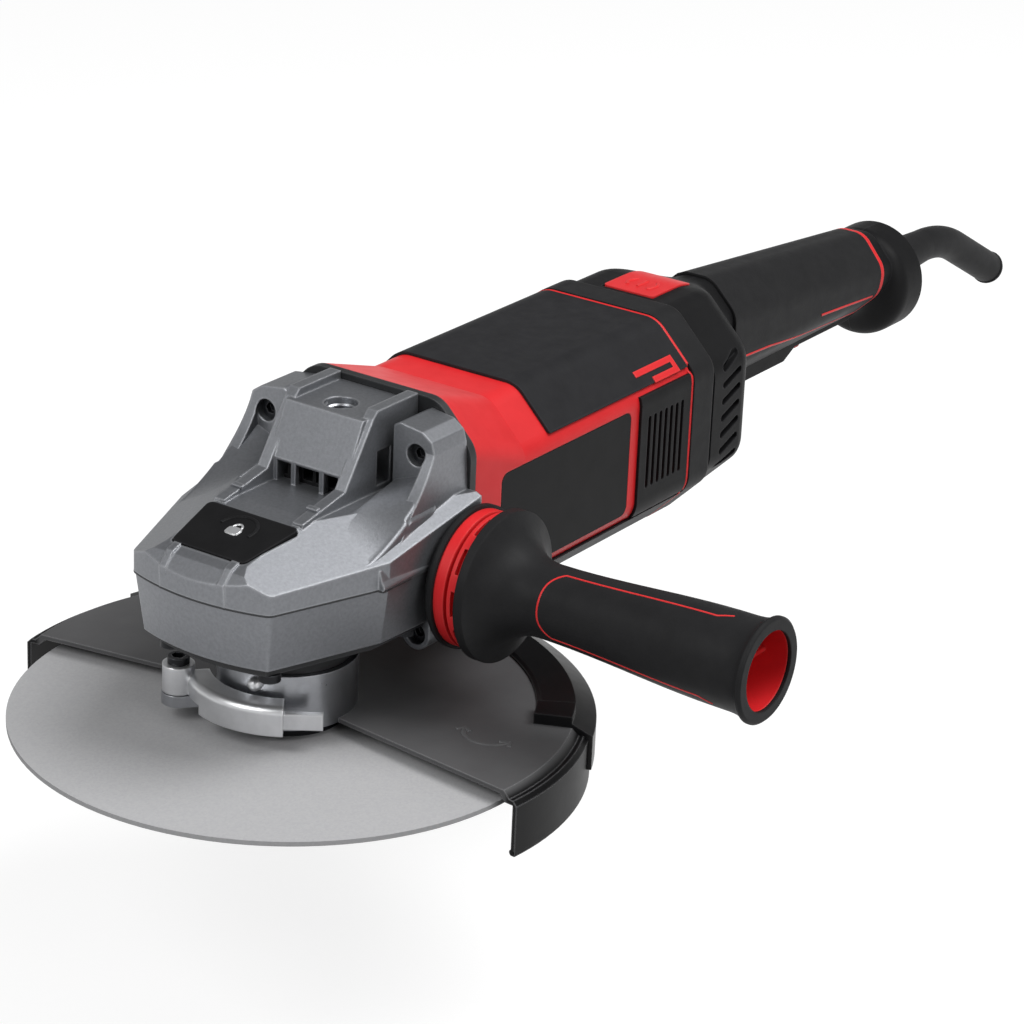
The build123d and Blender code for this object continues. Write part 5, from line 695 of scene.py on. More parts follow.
def turned(profile: Array, centre: Array, axis: Array, steps: int = 64) -> Surface:
    """Ring or cap turned from a profile about an axis.

    Each profile point has a radius and a place along the axis. It goes round in equal steps:
    centre + axis * place + radius * (first * cos + second * sin).

    Args:
        profile: radius and place of each point, as a closed loop or a line that ends on the axis.
        centre: point on the axis.
        axis: direction of the axis.
        steps: number of steps round.

    Returns:
        Points in a grid of steps by profile, and the faces.
    """
    axis = unit(axis)
    # The turn starts square to the upright, or to +X where the axis itself is nearly upright
    first = unit(np.cross(axis, (0.0, 0.0, 1.0) if abs(axis[2]) < 0.9 else (1.0, 0.0, 0.0)))
    second = np.cross(axis, first)
    turn = np.linspace(0, 2 * np.pi, steps, endpoint=False)[:, None, None]
    spokes = first * np.cos(turn) + second * np.sin(turn)
    points = centre + axis * profile[None, :, 1:] + spokes * profile[None, :, :1]
    return points, grid_faces(steps, len(profile), wrap_rows=True, wrap_columns=True)


def raised_plate(outline: Array, origin: Array, right: Array, ahead: Array, height: float,
                 sink: float, lip: float) -> Surface:
    """Flat plate with a sloping edge on a plane.

    The outline is repeated at three levels: under the surface, just under the top, and at the top drawn
    towards the outline's middle by the lip.

    Args:
        outline: corners in the plane, in order.
        origin: where the outline's zero lies.
        right: direction of the outline's first coordinate.
        ahead: direction of its second coordinate.
        height: height of the top over the plane.
        sink: depth of the foot under the plane.
        lip: width of the sloping edge.

    Returns:
        Points of the three levels, and the faces.
    """
    middle = outline.mean(axis=0)
    shrink = 1 - lip / np.abs(outline - middle).max()
    flat = np.stack([outline, outline, middle + (outline - middle) * shrink])
    level = np.array([-sink, height - lip, height])[:, None, None]
    points = origin + flat[..., :1] * right + flat[..., 1:] * ahead + level * np.cross(right, ahead)
    return points, tube_faces(len(level), len(outline))


# Surfaces of the CAD nodes


def box_of(node: str) -> tuple[Array, Array]:
    """Lowest and highest corner of a CAD node."""
    low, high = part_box(node)
    return np.array(low), np.array(high)


def triangles(frame: dict, node: str) -> tuple[Array, Array]:
    """Reads the mesh of a CAD node, which is all triangles.

    Args:
        frame: the loaded frame.
        node: name of the node.

    Returns:
        Its points, and the three point numbers of each triangle.
    """
    mesh = frame["nodes"][node].data
    points = np.empty(3 * len(mesh.vertices))
    mesh.vertices.foreach_get("co", points)
    corners = np.empty(len(mesh.loops), np.int32)
    mesh.loops.foreach_get("vertex_index", corners)
    return points.reshape(-1, 3), corners.reshape(-1, 3)


class Outside:
    """Outer surface of some CAD nodes, for laying trim on it."""

    def __init__(self, frame: dict, *nodes: str) -> None:
        """Collects the triangles of the named nodes.

        Args:
            frame: the loaded frame.
            *nodes: names of the nodes.
        """
        points: list[list[float]] = []
        faces: Faces = []
        for node in nodes:
            places, corners = triangles(frame, node)
            faces += (corners + len(points)).tolist()
            points += places.tolist()
        self.tree = BVHTree.FromPolygons(points, faces)

    def lay(self, starts: Array, ways: Array | Triple) -> tuple[Array, Array]:
        """Where straight lines from the starts first meet the surface, without those that miss it.

        Args:
            starts: points outside the surface, one per row.
            ways: directions of the lines, or one for all.

        Returns:
            The points met, and the surface's outward directions there.
        """
        ways = np.broadcast_to(ways, starts.shape)
        hits = [self.tree.ray_cast(Vector(start), Vector(way)) for start, way in zip(starts, ways)]
        met = np.array([hit[0] is not None for hit in hits])
        points, normals = (np.array([hit[item] for hit in hits if hit[0] is not None]) for item in (0, 1))
        away = np.sign(-np.sum(normals * ways[met], axis=1, keepdims=True))
        return points, normals * away

    def around(self, centres: Array, spokes: Array) -> tuple[Array, Array]:
        """Where lines from outside towards one centre, or each towards its own, first meet the surface."""
        return self.lay(centres + spokes * CLEAR, -spokes)


# Sub-assemblies


@dataclass
class SubAssembly:
    """Group of pieces on the loaded frame."""

    frame: dict
    paints: Paintbox

    def build(self) -> None:
        """Makes the pieces, which each sub-assembly does in its own way."""
        raise NotImplementedError

    def mount(self, name: str) -> dict:
        """Mount of the record with this name."""
        return next(item for item in self.frame["record"]["mounts"] if item["name"] == name)

    def add(self, name: str, surface: Surface, body: Body, slot: Slot) -> None:
        """Puts a surface into a mesh object at the origin, dresses it and lets it ride on a body.

        Args:
            name: name of the piece.
            surface: its points, and the point numbers of each face.
            body: body that the piece moves with.
            slot: record slot that gives the finish.
        """
        points, faces = surface
        mesh = bpy.data.meshes.new(name)
        mesh.from_pydata(points.reshape(-1, 3).tolist(), [], faces)
        work = bmesh.new()
        work.from_mesh(mesh)
        bmesh.ops.remove_doubles(work, verts=work.verts, dist=MERGE_DISTANCE)
        bmesh.ops.recalc_face_normals(work, faces=work.faces)
        work.to_mesh(mesh)
        work.free()
        mesh.shade_smooth()
        mesh.set_sharp_from_angle(angle=np.radians(SHARP_TURN))
        mesh.materials.append(self.paints.material(slot))
        piece = bpy.data.objects.new(name, mesh)
        bpy.context.scene.collection.objects.link(piece)
        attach(piece, body.value)
        LOG.info("%s: %d faces on %s", name, len(mesh.polygons), body.value)


@dataclass
class GearHead(SubAssembly):
    """Swept cheeks, marks and fittings on the cast gear head."""

    # Swept cheeks: places along and across the machine, and heights over the split between the castings
    cheek_place: Pair = (-30.0 * MM, 40.0 * MM)
    sweep_start: float = -14.0 * MM
    sweep_end: float = 32.4 * MM
    sweep_inner: float = 28.0 * MM
    sweep_foot: float = 14.0 * MM
    sweep_heel: float = 29.0 * MM
    sweep_tilt: float = 0.4
    sweep_power: float = 1.8
    sweep_round: float = 1.5 * MM
    sweep_depth: float = 12.0 * MM
    sweep_inset: float = 0.3 * MM
    sweep_sink: float = 0.15 * MM
    sweep_steps: int = 48
    settle_rounds: int = 30
    # Side wall and outline of the casting, which the sweeps stay inside
    wall_place: float = 40.0 * MM
    wall_low: float = 22.0 * MM
    wall_high: float = 44.0 * MM
    wall_steps: int = 45
    rim_level: float = 2.0 * MM
    # Dark line painted along the split between the castings, as the shade in its groove
    split_shade_turn: float = 80.0
    split_shade_width: float = 0.9 * MM
    split_shade_height: float = 0.1 * MM
    split_shade_level: float = 0.4 * MM
    # Mark on the lock button
    lock_shift: float = 2.0 * MM
    lock_span: float = 8.0 * MM
    lock_beside: float = 6.0 * MM
    mark_height: float = 0.5 * MM
    bow_radius: float = 8.5 * MM
    bow_width: float = 1.6 * MM
    bow_turns: Pair = (-20.0, 175.0)
    plate_half: Pair = (3.4 * MM, 2.6 * MM)
    plate_power: float = 0.55
    plate_drop: float = 2.2 * MM
    plate_lip: float = 0.2 * MM
    shackle_half: Pair = (2.1 * MM, 2.8 * MM)
    shackle_width: float = 1.0 * MM
    # Tabs and socket threads
    tab_half: Pair = (1.2 * MM, 2.75 * MM)
    tab_height: float = 1.0 * MM
    tab_lip: float = 0.4 * MM
    tab_back: float = 2.2 * MM
    tab_inset: float = 3.5 * MM
    thread_pitch: float = 2.0 * MM
    thread_depth: float = 0.8 * MM
    thread_foot: float = 0.9 * MM
    thread_turns: int = 7
    # Depth to which trim goes into the casting
    sink: float = 1.0 * MM

    def build(self) -> None:
        """Makes the swept cheeks, the dark line painted as shade along the split, the lock mark, the tabs
        behind it and the threads.
        """
        for name, side in SIDES.items():
            self.cheek_sweep(side, f"cheek_sweep_{name}")
        self.split_shade_line()
        self.lock_mark()
        self.tabs()
        for name in ("top", "left"):
            self.socket_thread(f"{name}_socket_thread", f"{name}_handle_socket")

    def cheek_sweep(self, side: int, name: str) -> None:
        """Makes the cast surface that takes a cheek up to the foot of its screw boss.

        The height over a place is the cheek's own plane, plus a share of the way up to a tilted line at the
        boss. The share is a power of the distance covered. Both long edges are quarter rounds. The outer one
        follows the casting's side wall: its place is read from the wall at its height, again and again
        until both agree.

        Args:
            side: 1 for the left, -1 for the right.
            name: name of the piece.
        """
        casting = Outside(self.frame, "gear_housing")
        split = box_of("gear_housing")[0][2]
        inward = (0.0, -side, 0.0)
        start = np.array([[self.cheek_place[0], side * self.cheek_place[1], CLEAR]])
        foot, normal = (found[0] for found in casting.lay(start, DOWN))
        levels = split + np.linspace(self.wall_low, self.wall_high, self.wall_steps)
        starts = np.stack([0 * levels + self.wall_place, 0 * levels + side * CLEAR, levels], -1)
        wall = casting.lay(starts, inward)[0][:, 1] * side - self.sweep_inset
        x = np.linspace(self.sweep_start, self.sweep_end, self.sweep_steps)[:, None]
        starts = np.concatenate([x, 0 * x + side * CLEAR, 0 * x + split + self.rim_level], axis=1)
        rim = casting.lay(starts, inward)[0][:, 1:2] * side - 3 * self.sweep_inset

        def cheek(along: Array, across: Array) -> Array:
            """Height of the cheek's plane at a place."""
            slope = normal[0] * (along - foot[0]) + normal[1] * (side * across - foot[1])
            return foot[2] - slope / normal[2]

        def height(across: Array) -> Array:
            """Height of the sweep.

            Args:
                across: distances from the middle plane, with a row for each step along the sweep.

            Returns:
                The height at each.
            """
            share = ((x - x[0]) / (x[-1] - x[0])) ** self.sweep_power
            heel = split + self.sweep_heel + self.sweep_tilt * (across - self.sweep_inner)
            rise = share * (heel - cheek(x[-1], across))
            return cheek(x, across) + rise - self.sweep_sink * (1 - share)

        outer = np.full_like(x, wall.min())
        for _ in range(self.settle_rounds):
            outer = np.minimum(np.interp(height(outer), levels, wall), rim)
        curve = self.sweep_round
        inner = np.full_like(x, self.sweep_inner)
        top = inner + curve + np.linspace(0, 1, 14)[1:-1] * (outer - inner - 2 * curve)
        turn = np.linspace(0, np.pi / 2, 7)
        back_turn = turn[::-1]
        down = height(outer - curve) - curve - np.linspace(0, self.sweep_depth, 9)[1:]
        across = np.concatenate([
            inner,
            inner + curve - curve * np.sin(back_turn),
            top,
            outer - curve + curve * np.sin(turn),
            np.minimum(np.interp(down, levels, wall), rim),
        ], axis=1)
        over = np.concatenate([
            np.full_like(x, split + self.sweep_foot),
            height(inner + curve) - curve + curve * np.cos(back_turn),
            height(top),
            height(outer - curve) - curve + curve * np.cos(turn),
            down,
        ], axis=1)
        points = np.stack(np.broadcast_arrays(x, side * across, over), -1)
        self.add(name, (points, tube_faces(*over.shape)), Body.MACHINE, Slot.CAST_ALLOY)

    def split_shade_line(self) -> None:
        """Painted shade in the split between the two castings: a flat dark bead along their common outline.
        """
        split = box_of("gear_housing")[0][2]
        turn = np.radians(np.linspace(self.split_shade_turn, 360 - self.split_shade_turn, 400))
        spokes = np.stack([np.cos(turn), np.sin(turn), 0 * turn], -1)
        centre = np.array([0.0, 0.0, split + self.split_shade_level])
        path, normals = Outside(self.frame, "gear_housing").around(centre, spokes)
        path[:, 2] = split
        flat = normals * (1, 1, 0)
        line = bead(path, flat, self.split_shade_width, self.split_shade_height, self.sink, LINE_POINTS)
        self.add("head_split_painted_shade", line, Body.MACHINE, Slot.DARK_CASTING)

    def lock_plane(self) -> tuple[Array, Array, Array]:
        """Finds the sloping top of the lock button from two points beside its mark.

        Returns:
            The middle of the mark, and the directions across the top and backwards.
        """
        low, high = box_of("lock_button")
        middle = (low[0] + high[0]) / 2 - self.lock_shift
        ends = (middle - self.lock_span, middle + self.lock_span)
        starts = np.array([(end, self.lock_beside, CLEAR) for end in ends])
        points, _ = Outside(self.frame, "lock_button").lay(starts, DOWN)
        return points.mean(axis=0) * (1, 0, 1), np.array([0.0, -1.0, 0.0]), unit(points[1] - points[0])

    def lock_mark(self) -> None:
        """Raised bow round a small padlock: arcs carried as beads, and a plate.

        The plate's outline is a circle whose cosine and sine are raised to a power below one, which
        squares it off.
        """
        centre, right, back = self.lock_plane()
        up = np.cross(right, back)
        path = arc(centre, right * self.bow_radius, back * self.bow_radius, self.bow_turns, 48)
        bow = bead(path, up, self.bow_width, self.mark_height, self.sink)
        self.add("lock_bow", bow, Body.SPINDLE_LOCK, Slot.BLACK_PLASTIC)
        turn = np.linspace(0, 2 * np.pi, 40, endpoint=False)
        circle = np.stack([np.cos(turn), np.sin(turn)], -1)
        outline = np.sign(circle) * np.abs(circle) ** self.plate_power * self.plate_half
        foot = centre - back * self.plate_drop
        plate = raised_plate(outline, foot, right, back, self.mark_height, self.sink, self.plate_lip)
        self.add("lock_plate", plate, Body.SPINDLE_LOCK, Slot.POLISHED_CASTING)
        path = arc(centre, right * self.shackle_half[0], back * self.shackle_half[1], (0.0, 180.0), 24)
        shackle = bead(path, up, self.shackle_width, self.mark_height, self.sink)
        self.add("lock_shackle", shackle, Body.SPINDLE_LOCK, Slot.POLISHED_CASTING)

    def tabs(self) -> None:
        """Two small cast tabs behind the rear corners of the lock button: plates on the deck's slope."""
        high = box_of("lock_button")[1]
        deck = Outside(self.frame, "gear_housing")
        left = np.array([0.0, 1.0, 0.0])
        outline = np.array([(-1, -1), (1, -1), (1, 1), (-1, 1)]) * self.tab_half
        for number, side in enumerate(SIDES.values(), 1):
            start = np.array([[high[0] + self.tab_back, side * (high[1] - self.tab_inset), CLEAR]])
            points, normals = deck.lay(start, DOWN)
            ahead = unit(np.cross(normals[0], left))
            plate = raised_plate(outline, points[0], ahead, left, self.tab_height, self.sink, self.tab_lip)
            self.add(f"lock_tab_{number}", plate, Body.MACHINE, Slot.CAST_ALLOY)

    def socket_thread(self, name: str, mount: str) -> None:
        """Thread ridge in a handle socket: a triangle carried along a screw line inside the wall.

        Args:
            name: name of the piece.
            mount: name of the socket's mount in the record.
        """
        socket = self.mount(mount)
        wall = socket["dims"]["r_mm"] * MM
        axis = np.array(socket["axis"], float)
        first = unit(np.cross(axis, (1.0, 0.0, 0.0)))
        second = np.cross(axis, first)
        turn = np.linspace(0, 2 * np.pi * self.thread_turns, 48 * self.thread_turns)[:, None]
        spokes = first * np.cos(turn) + second * np.sin(turn)
        centres = np.array(socket["pos_m"]) - axis * self.thread_pitch * (turn / (2 * np.pi) + 1)
        radius = np.array([wall, wall - self.thread_depth, wall])[:, None]
        shift = np.array([-self.thread_foot, 0.0, self.thread_foot])[:, None]
        points = centres[:, None] + spokes[:, None] * radius + axis * shift
        self.add(name, (points, tube_faces(len(turn), len(radius))), Body.MACHINE, Slot.STEEL)


@dataclass
class MotorCasing(SubAssembly):
    """Red line and inlays between the black covers of the motor housing."""

    line_width: float = 1.6 * MM
    line_height: float = 0.15 * MM
    line_back: float = 0.3 * MM
    inlay_start: float = 184.0 * MM
    inlay_level: float = -2.2 * MM
    inlay_drop: float = 1.4 * MM
    inlay_height: float = 0.3 * MM
    inlay_lip: float = 0.15 * MM
    bar_length: float = 30.0 * MM
    bar_width: float = 3.0 * MM
    bar_pitch: float = 5.6 * MM
    short_start: float = 10.0 * MM
    sink: float = 1.0 * MM

    def build(self) -> None:
        """Makes the line in front of the bumper ring and the inlay on each side of the top cover."""
        self.edge_line()
        for name, side in SIDES.items():
            self.inlay(side, f"cover_inlay_{name}")

    def edge_line(self) -> None:
        """Red edge between covers and bumper: a bead carried round the housing's section."""
        grilles = [f"vent_grille_{name}" for name in SIDES]
        shell = Outside(self.frame, "motor_housing", "top_cover", "bottom_cover", *grilles)
        end = box_of("top_cover")[1][0]
        turn = np.linspace(0, 2 * np.pi, 240, endpoint=False)
        spokes = np.stack([0 * turn, np.cos(turn), np.sin(turn)], -1)
        path, _ = shell.around(np.array([end - self.line_back, 0.0, AXIS_HEIGHT]), spokes)
        path[:, 0] = end + self.line_width / 2
        line = bead(path, spokes, self.line_width, self.line_height, self.sink, LINE_POINTS, closed=True)
        self.add("housing_edge", line, Body.MACHINE, Slot.RED_PLASTIC)

    def inlay(self, side: int, name: str) -> None:
        """Red inlay on the sloping edge of the top cover: a long bar and a short one, joined at the rear.

        Args:
            side: 1 on the left and -1 on the right.
            name: name of the piece.
        """
        low, high = box_of("top_cover")
        start = np.array([[self.inlay_start, side * CLEAR, (low[2] + high[2]) / 2 + self.inlay_level]])
        points, normals = Outside(self.frame, "top_cover").lay(start, (0.0, -side, 0.0))
        right = np.array([-side, 0.0, 0.0])
        ahead = unit(np.cross(normals[0], right))
        top = -self.inlay_drop
        foot = top - self.bar_pitch - self.bar_width
        inner = self.bar_length - self.bar_width
        outline = np.array([
            (0, top),
            (self.bar_length, top),
            (self.bar_length, foot),
            (self.short_start, foot),
            (self.short_start, foot + self.bar_width),
            (inner, foot + self.bar_width),
            (inner, top - self.bar_width),
            (0, top - self.bar_width),
        ]) * (-side, 1)
        plate = raised_plate(outline, points[0], right, ahead, self.inlay_height, self.sink, self.inlay_lip)
        self.add(name, plate, Body.MACHINE, Slot.RED_PLASTIC)


@dataclass
class Guard(SubAssembly):
    """Marks and small fittings on the guard."""

    arrow_centre: Pair = (26.0 * MM, -85.0 * MM)
    arrow_radius: float = 11.5 * MM
    arrow_turns: Pair = (105.0, 255.0)
    arrow_barb: float = 3.0 * MM
    arrow_width: float = 1.8 * MM
    arrow_height: float = 0.5 * MM
    edge_band: float = 0.1 * MM
    roll_radius: float = 1.4 * MM
    screw_radius: float = 3.0 * MM
    screw_reach: float = 29.2 * MM
    screw_turn: float = 193.0
    screw_drop: float = 3.6 * MM
    dome_start: float = 1.8 * MM
    shank: float = 1.0 * MM

    def build(self) -> None:
        """Makes the embossed arrow, the rolled lower edge and the collar's tension screw."""
        self.arrow()
        self.rolled_edge()
        self.tension_screw()

    def arrow(self) -> None:
        """Embossed double arrow on the plate: a bow of a circle with a pair of barbs at each end."""
        centre = np.array([*self.arrow_centre, box_of("guard_shell")[1][2]])
        first, second = np.eye(3)[:2] * self.arrow_radius
        path = arc(centre, first, second, self.arrow_turns, 32)
        self.emboss("turn_arrow", path)
        for end, inward, name in ((0, 1, "first"), (-1, -2, "second")):
            tip = path[end]
            along = unit(path[inward] - tip) * self.arrow_barb
            out = unit(tip - centre) * self.arrow_barb
            corners = np.stack([tip + along + out, tip, tip + along - out])
            self.emboss(f"turn_arrow_barb_{name}", even_points(corners, 17))

    def emboss(self, name: str, path: Array) -> None:
        """Raises one line of the arrow, along a path, out of the plate."""
        line = bead(path, np.array([0.0, 0.0, 1.0]), self.arrow_width, self.arrow_height, self.arrow_height)
        self.add(name, line, Body.GUARD, Slot.GUARD_PAINT)

    def rolled_edge(self) -> None:
        """Rolled lower edge of the skirt: a circle carried along the skirt's arc."""
        places, _ = triangles(self.frame, "guard_shell")
        low = places[:, 2].min()
        edge = places[places[:, 2] < low + self.edge_band]
        angle = np.arctan2(edge[:, 1], edge[:, 0])
        turn = np.linspace(angle.min(), angle.max(), 120)[:, None]
        ring = np.linspace(0, 2 * np.pi, 12, endpoint=False)
        middle = np.hypot(places[:, 0], places[:, 1]).max() - self.roll_radius
        reach = middle + self.roll_radius * np.cos(ring)
        height = low + self.roll_radius + self.roll_radius * np.sin(ring)
        points = np.stack(np.broadcast_arrays(np.cos(turn) * reach, np.sin(turn) * reach, height), -1)
        roll = (points, tube_faces(len(turn), len(ring)))
        self.add("skirt_roll", roll, Body.GUARD, Slot.GUARD_COVER)

    def tension_screw(self) -> None:
        """Tension screw of the collar: a round head on a short shank, turned from its profile."""
        level = box_of("guard_collar")[1][2] - self.screw_drop
        angle = np.radians(self.screw_turn)
        out = np.array([np.cos(angle), np.sin(angle), 0.0])
        turn = np.linspace(0, np.pi / 2, 10)
        dome = self.screw_radius * np.stack([np.cos(turn), np.sin(turn)], -1) + (0, self.dome_start)
        profile = np.concatenate([[(0, -self.shank), (self.screw_radius, -self.shank)], dome])
        screw = turned(profile, out * self.screw_reach + (0, 0, level), out, 32)
        self.add("tension_screw", screw, Body.GUARD, Slot.POLISHED_CASTING)


@dataclass
class SideHandle(SubAssembly):
    """Thin red outlines on the side handle's grip."""

    line_width: float = 0.9 * MM
    line_height: float = 0.25 * MM
    line_sink: float = 0.4 * MM
    half_turn: float = 56.0
    face_turn: float = 160.0
    front_gap: float = 29.0 * MM
    rear_gap: float = 16.0 * MM
    round_depth: float = 6.0 * MM
    step_length: float = 6.0 * MM
    step_turn: float = 9.0
    mean_radius: float = 20.0 * MM

    def build(self) -> None:
        """Makes one outline on each broad side of the grip.

        The line is drawn in turn about the axis and place along it: a step at the rear, a long side, a
        round front end, and back. Each point goes out from the axis to the grip's surface.
        """
        grip = Outside(self.frame, "handle_grip")
        low, high = box_of("handle_grip")
        front = high[1] - self.front_gap
        rear = low[1] + self.rear_gap
        side = np.array([self.half_turn, self.half_turn + self.step_turn])
        step = np.array([rear + self.step_length, rear])
        end = np.linspace(-1, 1, 25)
        turns = np.concatenate([-side[::-1], end * self.half_turn, side])
        places = np.concatenate([step[::-1], front - self.round_depth * np.abs(end) ** 3, step])
        # Surface that one degree of turn covers, so that turn and place are in the same unit
        degree = np.radians(self.mean_radius)
        line = even_points(np.stack([turns * degree, places], -1), 220)
        for number, face in enumerate((self.face_turn, self.face_turn + 180), 1):
            turn = np.radians(line[:, 0] / degree + face)
            out = np.stack([np.cos(turn), 0 * turn, np.sin(turn)], -1)
            centres = np.broadcast_to((low + high) / 2, out.shape).copy()
            centres[:, 1] = line[:, 1]
            path, _ = grip.around(centres, out)
            trim = bead(path, out, self.line_width, self.line_height, self.line_sink, LINE_POINTS)
            self.add(f"grip_line_{number}", trim, Body.MACHINE, Slot.RED_PLASTIC)


@dataclass
class RearHandle(SubAssembly):
    """Red lines, button mark and sleeve lip of the rear handle."""

    line_width: float = 1.3 * MM
    line_height: float = 0.3 * MM
    line_sink: float = 0.4 * MM
    # Corners of the lines, in millimetres along the machine and over the motor axis
    upper_line: tuple[Pair, ...] = ((437.5, 0.0), (409.0, 2.6), (385.0, 4.4))
    lower_line: tuple[Pair, ...] = ((440.0, -11.0), (388.0, -5.0), (337.0, 1.5), (312.0, 3.0))
    mark_shift: float = 4.0 * MM
    mark_width: float = 1.6 * MM
    mark_height: float = 0.5 * MM
    bow_gap: float = 3.0 * MM
    bow_half: Pair = (4.0 * MM, 5.5 * MM)
    bow_turns: Pair = (-60.0, 60.0)
    bar_half: float = 4.5 * MM
    sleeve_radius: float = 8.4 * MM
    lip_width: float = 2.2 * MM
    lip_height: float = 0.5 * MM
    lip_back: float = 1.76 * MM

    def build(self) -> None:
        """Makes the lines along both sides of the grip, the button's mark and the sleeve's lip."""
        self.grip_lines()
        self.button_mark()
        self.sleeve_lip()

    def grip_lines(self) -> None:
        """Red lines: one from the foot of the trim ring forwards, and one above the trigger."""
        grip = Outside(self.frame, "grip_cover")
        for name, side in SIDES.items():
            for part, stations in (("upper", self.upper_line), ("lower", self.lower_line)):
                places = [(x * MM, side * CLEAR, AXIS_HEIGHT + rise * MM) for x, rise in stations]
                path, normals = grip.lay(even_points(np.array(places), 60), (0.0, -side, 0.0))
                line = bead(path, normals, self.line_width, self.line_height, self.line_sink, LINE_POINTS)
                self.add(f"handle_line_{part}_{name}", line, Body.REAR_HANDLE, Slot.RED_PLASTIC)

    def button_mark(self) -> None:
        """Raised turn mark on the swivel button: two bows that face each other, and a short bar."""
        low, high = box_of("swivel_button")
        top = Outside(self.frame, "swivel_button")
        middle = np.array([(low[0] + high[0]) / 2 - self.mark_shift, 0.0, CLEAR])
        along, left, _ = np.eye(3)
        paths: dict[str, Array] = {}
        for number, side in enumerate(SIDES.values(), 1):
            centre = middle + left * side * self.bow_gap
            halves = (left * side * self.bow_half[0], along * self.bow_half[1])
            paths[f"button_bow_{number}"] = arc(centre, *halves, self.bow_turns, 24)
        ends = np.stack([middle - along * self.bar_half, middle + along * self.bar_half])
        paths["button_bar"] = even_points(ends, 12)
        for name, path in paths.items():
            foot, normals = top.lay(path, DOWN)
            mark = bead(foot, normals, self.mark_width, self.mark_height, self.mark_height)
            self.add(name, mark, Body.SWIVEL_BUTTON, Slot.RED_PLASTIC)

    def sleeve_lip(self) -> None:
        """Lip round the free end of the cord sleeve: a rounded ring turned about the sleeve's end."""
        entry = self.mount("cord_entry")
        turn = np.linspace(0, 2 * np.pi, 14, endpoint=False)
        radius = self.sleeve_radius + self.lip_height * np.cos(turn)
        section = np.stack([radius, self.lip_width / 2 * np.sin(turn) - self.lip_back], -1)
        lip = turned(section, np.array(entry["pos_m"]), np.array(entry["axis"], float))
        self.add("sleeve_lip", lip, Body.REAR_HANDLE, Slot.RUBBER)


# Studio


@dataclass(frozen=True)
class Lamp:
    """Square soft lamp: where it hangs, its side and its power in watts."""

    name: str
    place: Triple
    side: float
    power: float


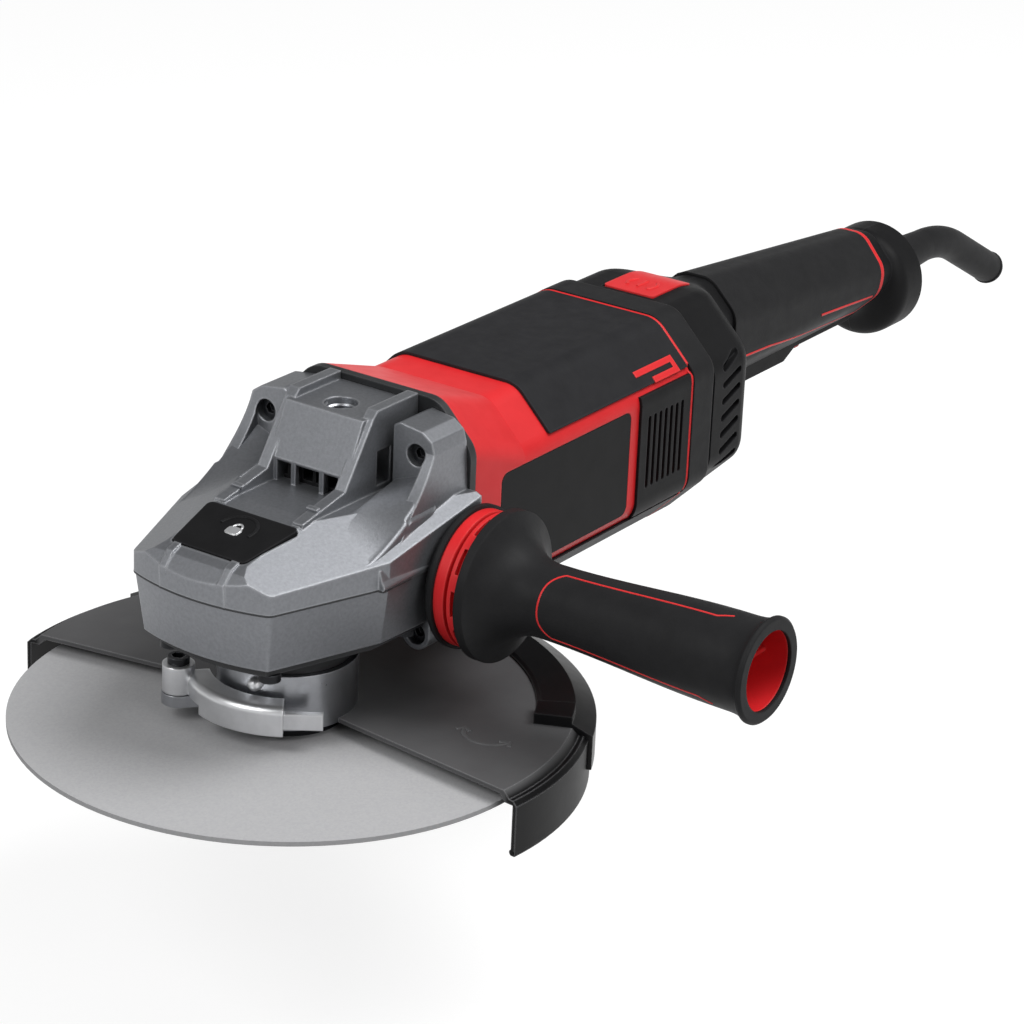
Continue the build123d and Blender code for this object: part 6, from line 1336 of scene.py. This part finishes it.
@dataclass
class Studio:
    """Pale floor, soft lights and the camera."""

    floor_drop: float = 0.10
    floor_radius: float = 12.0
    floor_bend: float = 2.4
    floor_colour: str = "#8e8e8e"
    floor_glow: float = 0.8
    sky: float = 0.24
    lamps: tuple[Lamp, ...] = (
        Lamp("key", (0.65, -0.9, 1.9), 1.4, 42.0),
        Lamp("side", (-0.5, -1.9, 1.1), 0.9, 10.0),
        Lamp("fill", (-1.6, 0.3, 1.4), 1.2, 24.0),
    )
    target: Triple = (0.2, -0.03, 0.07)
    azimuth: float = -55.86
    elevation: float = 22.55
    roll: float = 2.51
    eye: Triple = (-1.03906, -0.81238, 0.65160)
    lens_mm: float = 124.35
    sensor_mm: float = 36.0

    def build(self) -> None:
        """Sets up the view, the floor, the sky, the lamps and the camera."""
        scene = bpy.context.scene
        scene.view_settings.view_transform = "Standard"
        self.floor(scene)
        self.world(scene)
        for lamp in self.lamps:
            self.hang(scene, lamp)
        self.camera(scene)

    def floor(self, scene: bpy.types.Scene) -> None:
        """White floor under the machine, lifted to white where the camera and reflections see it.

        A flat round floor goes over into a low rim: a quarter circle carried round the floor's edge.

        Args:
            scene: scene that gets the floor.
        """
        turn = np.linspace(0, 2 * np.pi, 96, endpoint=False)[:, None]
        bend = np.linspace(0, np.pi / 2, 13)
        radius = self.floor_radius - self.floor_bend * (1 - np.sin(bend))
        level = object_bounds()[0][2] - self.floor_drop + self.floor_bend * (1 - np.cos(bend))
        points = np.stack(np.broadcast_arrays(radius * np.cos(turn), radius * np.sin(turn), level), -1)
        faces = [face[::-1] for face in grid_faces(len(turn), len(bend), wrap_rows=True)]
        faces.append(list(range(0, len(bend) * len(turn), len(bend))))
        mesh = bpy.data.meshes.new("floor")
        mesh.from_pydata(points.reshape(-1, 3).tolist(), [], faces)
        mesh.shade_smooth()
        mesh.materials.append(self.floor_material())
        floor = bpy.data.objects.new("floor", mesh)
        scene.collection.objects.link(floor)
        floor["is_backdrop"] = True

    def floor_material(self) -> bpy.types.Material:
        """Matte grey that takes the shadow, with a glow for camera, glossy and transmission rays.

        Returns:
            The material.
        """
        material = bpy.data.materials.new("white_sweep")
        tree = empty_tree(material)
        ray = add_node(tree, "ShaderNodeLightPath").outputs
        seen = ray["Is Camera Ray"]
        for kind in ("Is Glossy Ray", "Is Transmission Ray"):
            seen = add_node(tree, "ShaderNodeMath", {0: seen, 1: ray[kind]}, operation="MAXIMUM").outputs[0]
        level = add_node(tree, "ShaderNodeMath", {0: seen, 1: self.floor_glow}, operation="MULTIPLY")
        matte = add_node(tree, "ShaderNodeBsdfDiffuse", {"Color": linear(self.floor_colour)})
        inputs = {"Color": linear("#ffffff"), "Strength": level.outputs[0]}
        glow = add_node(tree, "ShaderNodeEmission", inputs)
        both = add_node(tree, "ShaderNodeAddShader", {0: matte.outputs[0], 1: glow.outputs[0]})
        add_node(tree, "ShaderNodeOutputMaterial", {"Surface": both.outputs[0]})
        return material

    def world(self, scene: bpy.types.Scene) -> None:
        """Even pale sky at a plain level.

        Args:
            scene: scene that gets the sky.
        """
        world = bpy.data.worlds.new("studio")
        tree = empty_tree(world)
        sky = add_node(tree, "ShaderNodeBackground", {"Color": linear("#ffffff"), "Strength": self.sky})
        add_node(tree, "ShaderNodeOutputWorld", {"Surface": sky.outputs[0]})
        scene.world = world

    def hang(self, scene: bpy.types.Scene, lamp: Lamp) -> None:
        """Hangs a lamp so that it faces the machine.

        Args:
            scene: scene that gets the lamp.
            lamp: the lamp.
        """
        light = bpy.data.lights.new(lamp.name, "AREA")
        light.size = lamp.side
        light.energy = lamp.power
        towards = Vector(self.target) - Vector(lamp.place)
        turn = towards.to_track_quat("-Z", "Y").to_matrix().to_4x4()
        holder = bpy.data.objects.new(lamp.name, light)
        holder.matrix_world = Matrix.Translation(lamp.place) @ turn
        scene.collection.objects.link(holder)

    def camera(self, scene: bpy.types.Scene) -> None:
        """Camera at the photograph's viewing angle: azimuth and elevation give its back, then it rolls.

        Args:
            scene: scene that gets the camera.
        """
        turn, tilt, roll = np.radians((self.azimuth, self.elevation, self.roll))
        back = np.array([np.sin(turn) * np.cos(tilt), -np.cos(turn) * np.cos(tilt), np.sin(tilt)])
        right = np.array([np.cos(turn), np.sin(turn), 0.0])
        up = np.cross(back, right)
        across = np.cos(roll) * right + np.sin(roll) * up
        upright = np.cos(roll) * up - np.sin(roll) * right
        data = bpy.data.cameras.new("camera")
        data.lens = self.lens_mm
        data.sensor_width = self.sensor_mm
        camera = bpy.data.objects.new("camera", data)
        rows = np.eye(4)
        rows[:3] = np.stack([across, upright, back, self.eye], -1)
        camera.matrix_world = Matrix(rows.tolist())
        scene.collection.objects.link(camera)
        scene.camera = camera


def main() -> None:
    """Loads the frame, dresses its nodes, adds each sub-assembly's pieces and sets up the studio."""
    logging.basicConfig(level=logging.INFO, format="%(name)s %(message)s")
    bpy.ops.wm.read_factory_settings(use_empty=True)
    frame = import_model()
    paints = Paintbox()
    paints.dress_nodes(frame)
    for kind in (GearHead, MotorCasing, Guard, SideHandle, RearHandle):
        LOG.info("building %s", kind.__name__)
        kind(frame, paints).build()
    Studio().build()


if __name__ == "__main__":
    main()
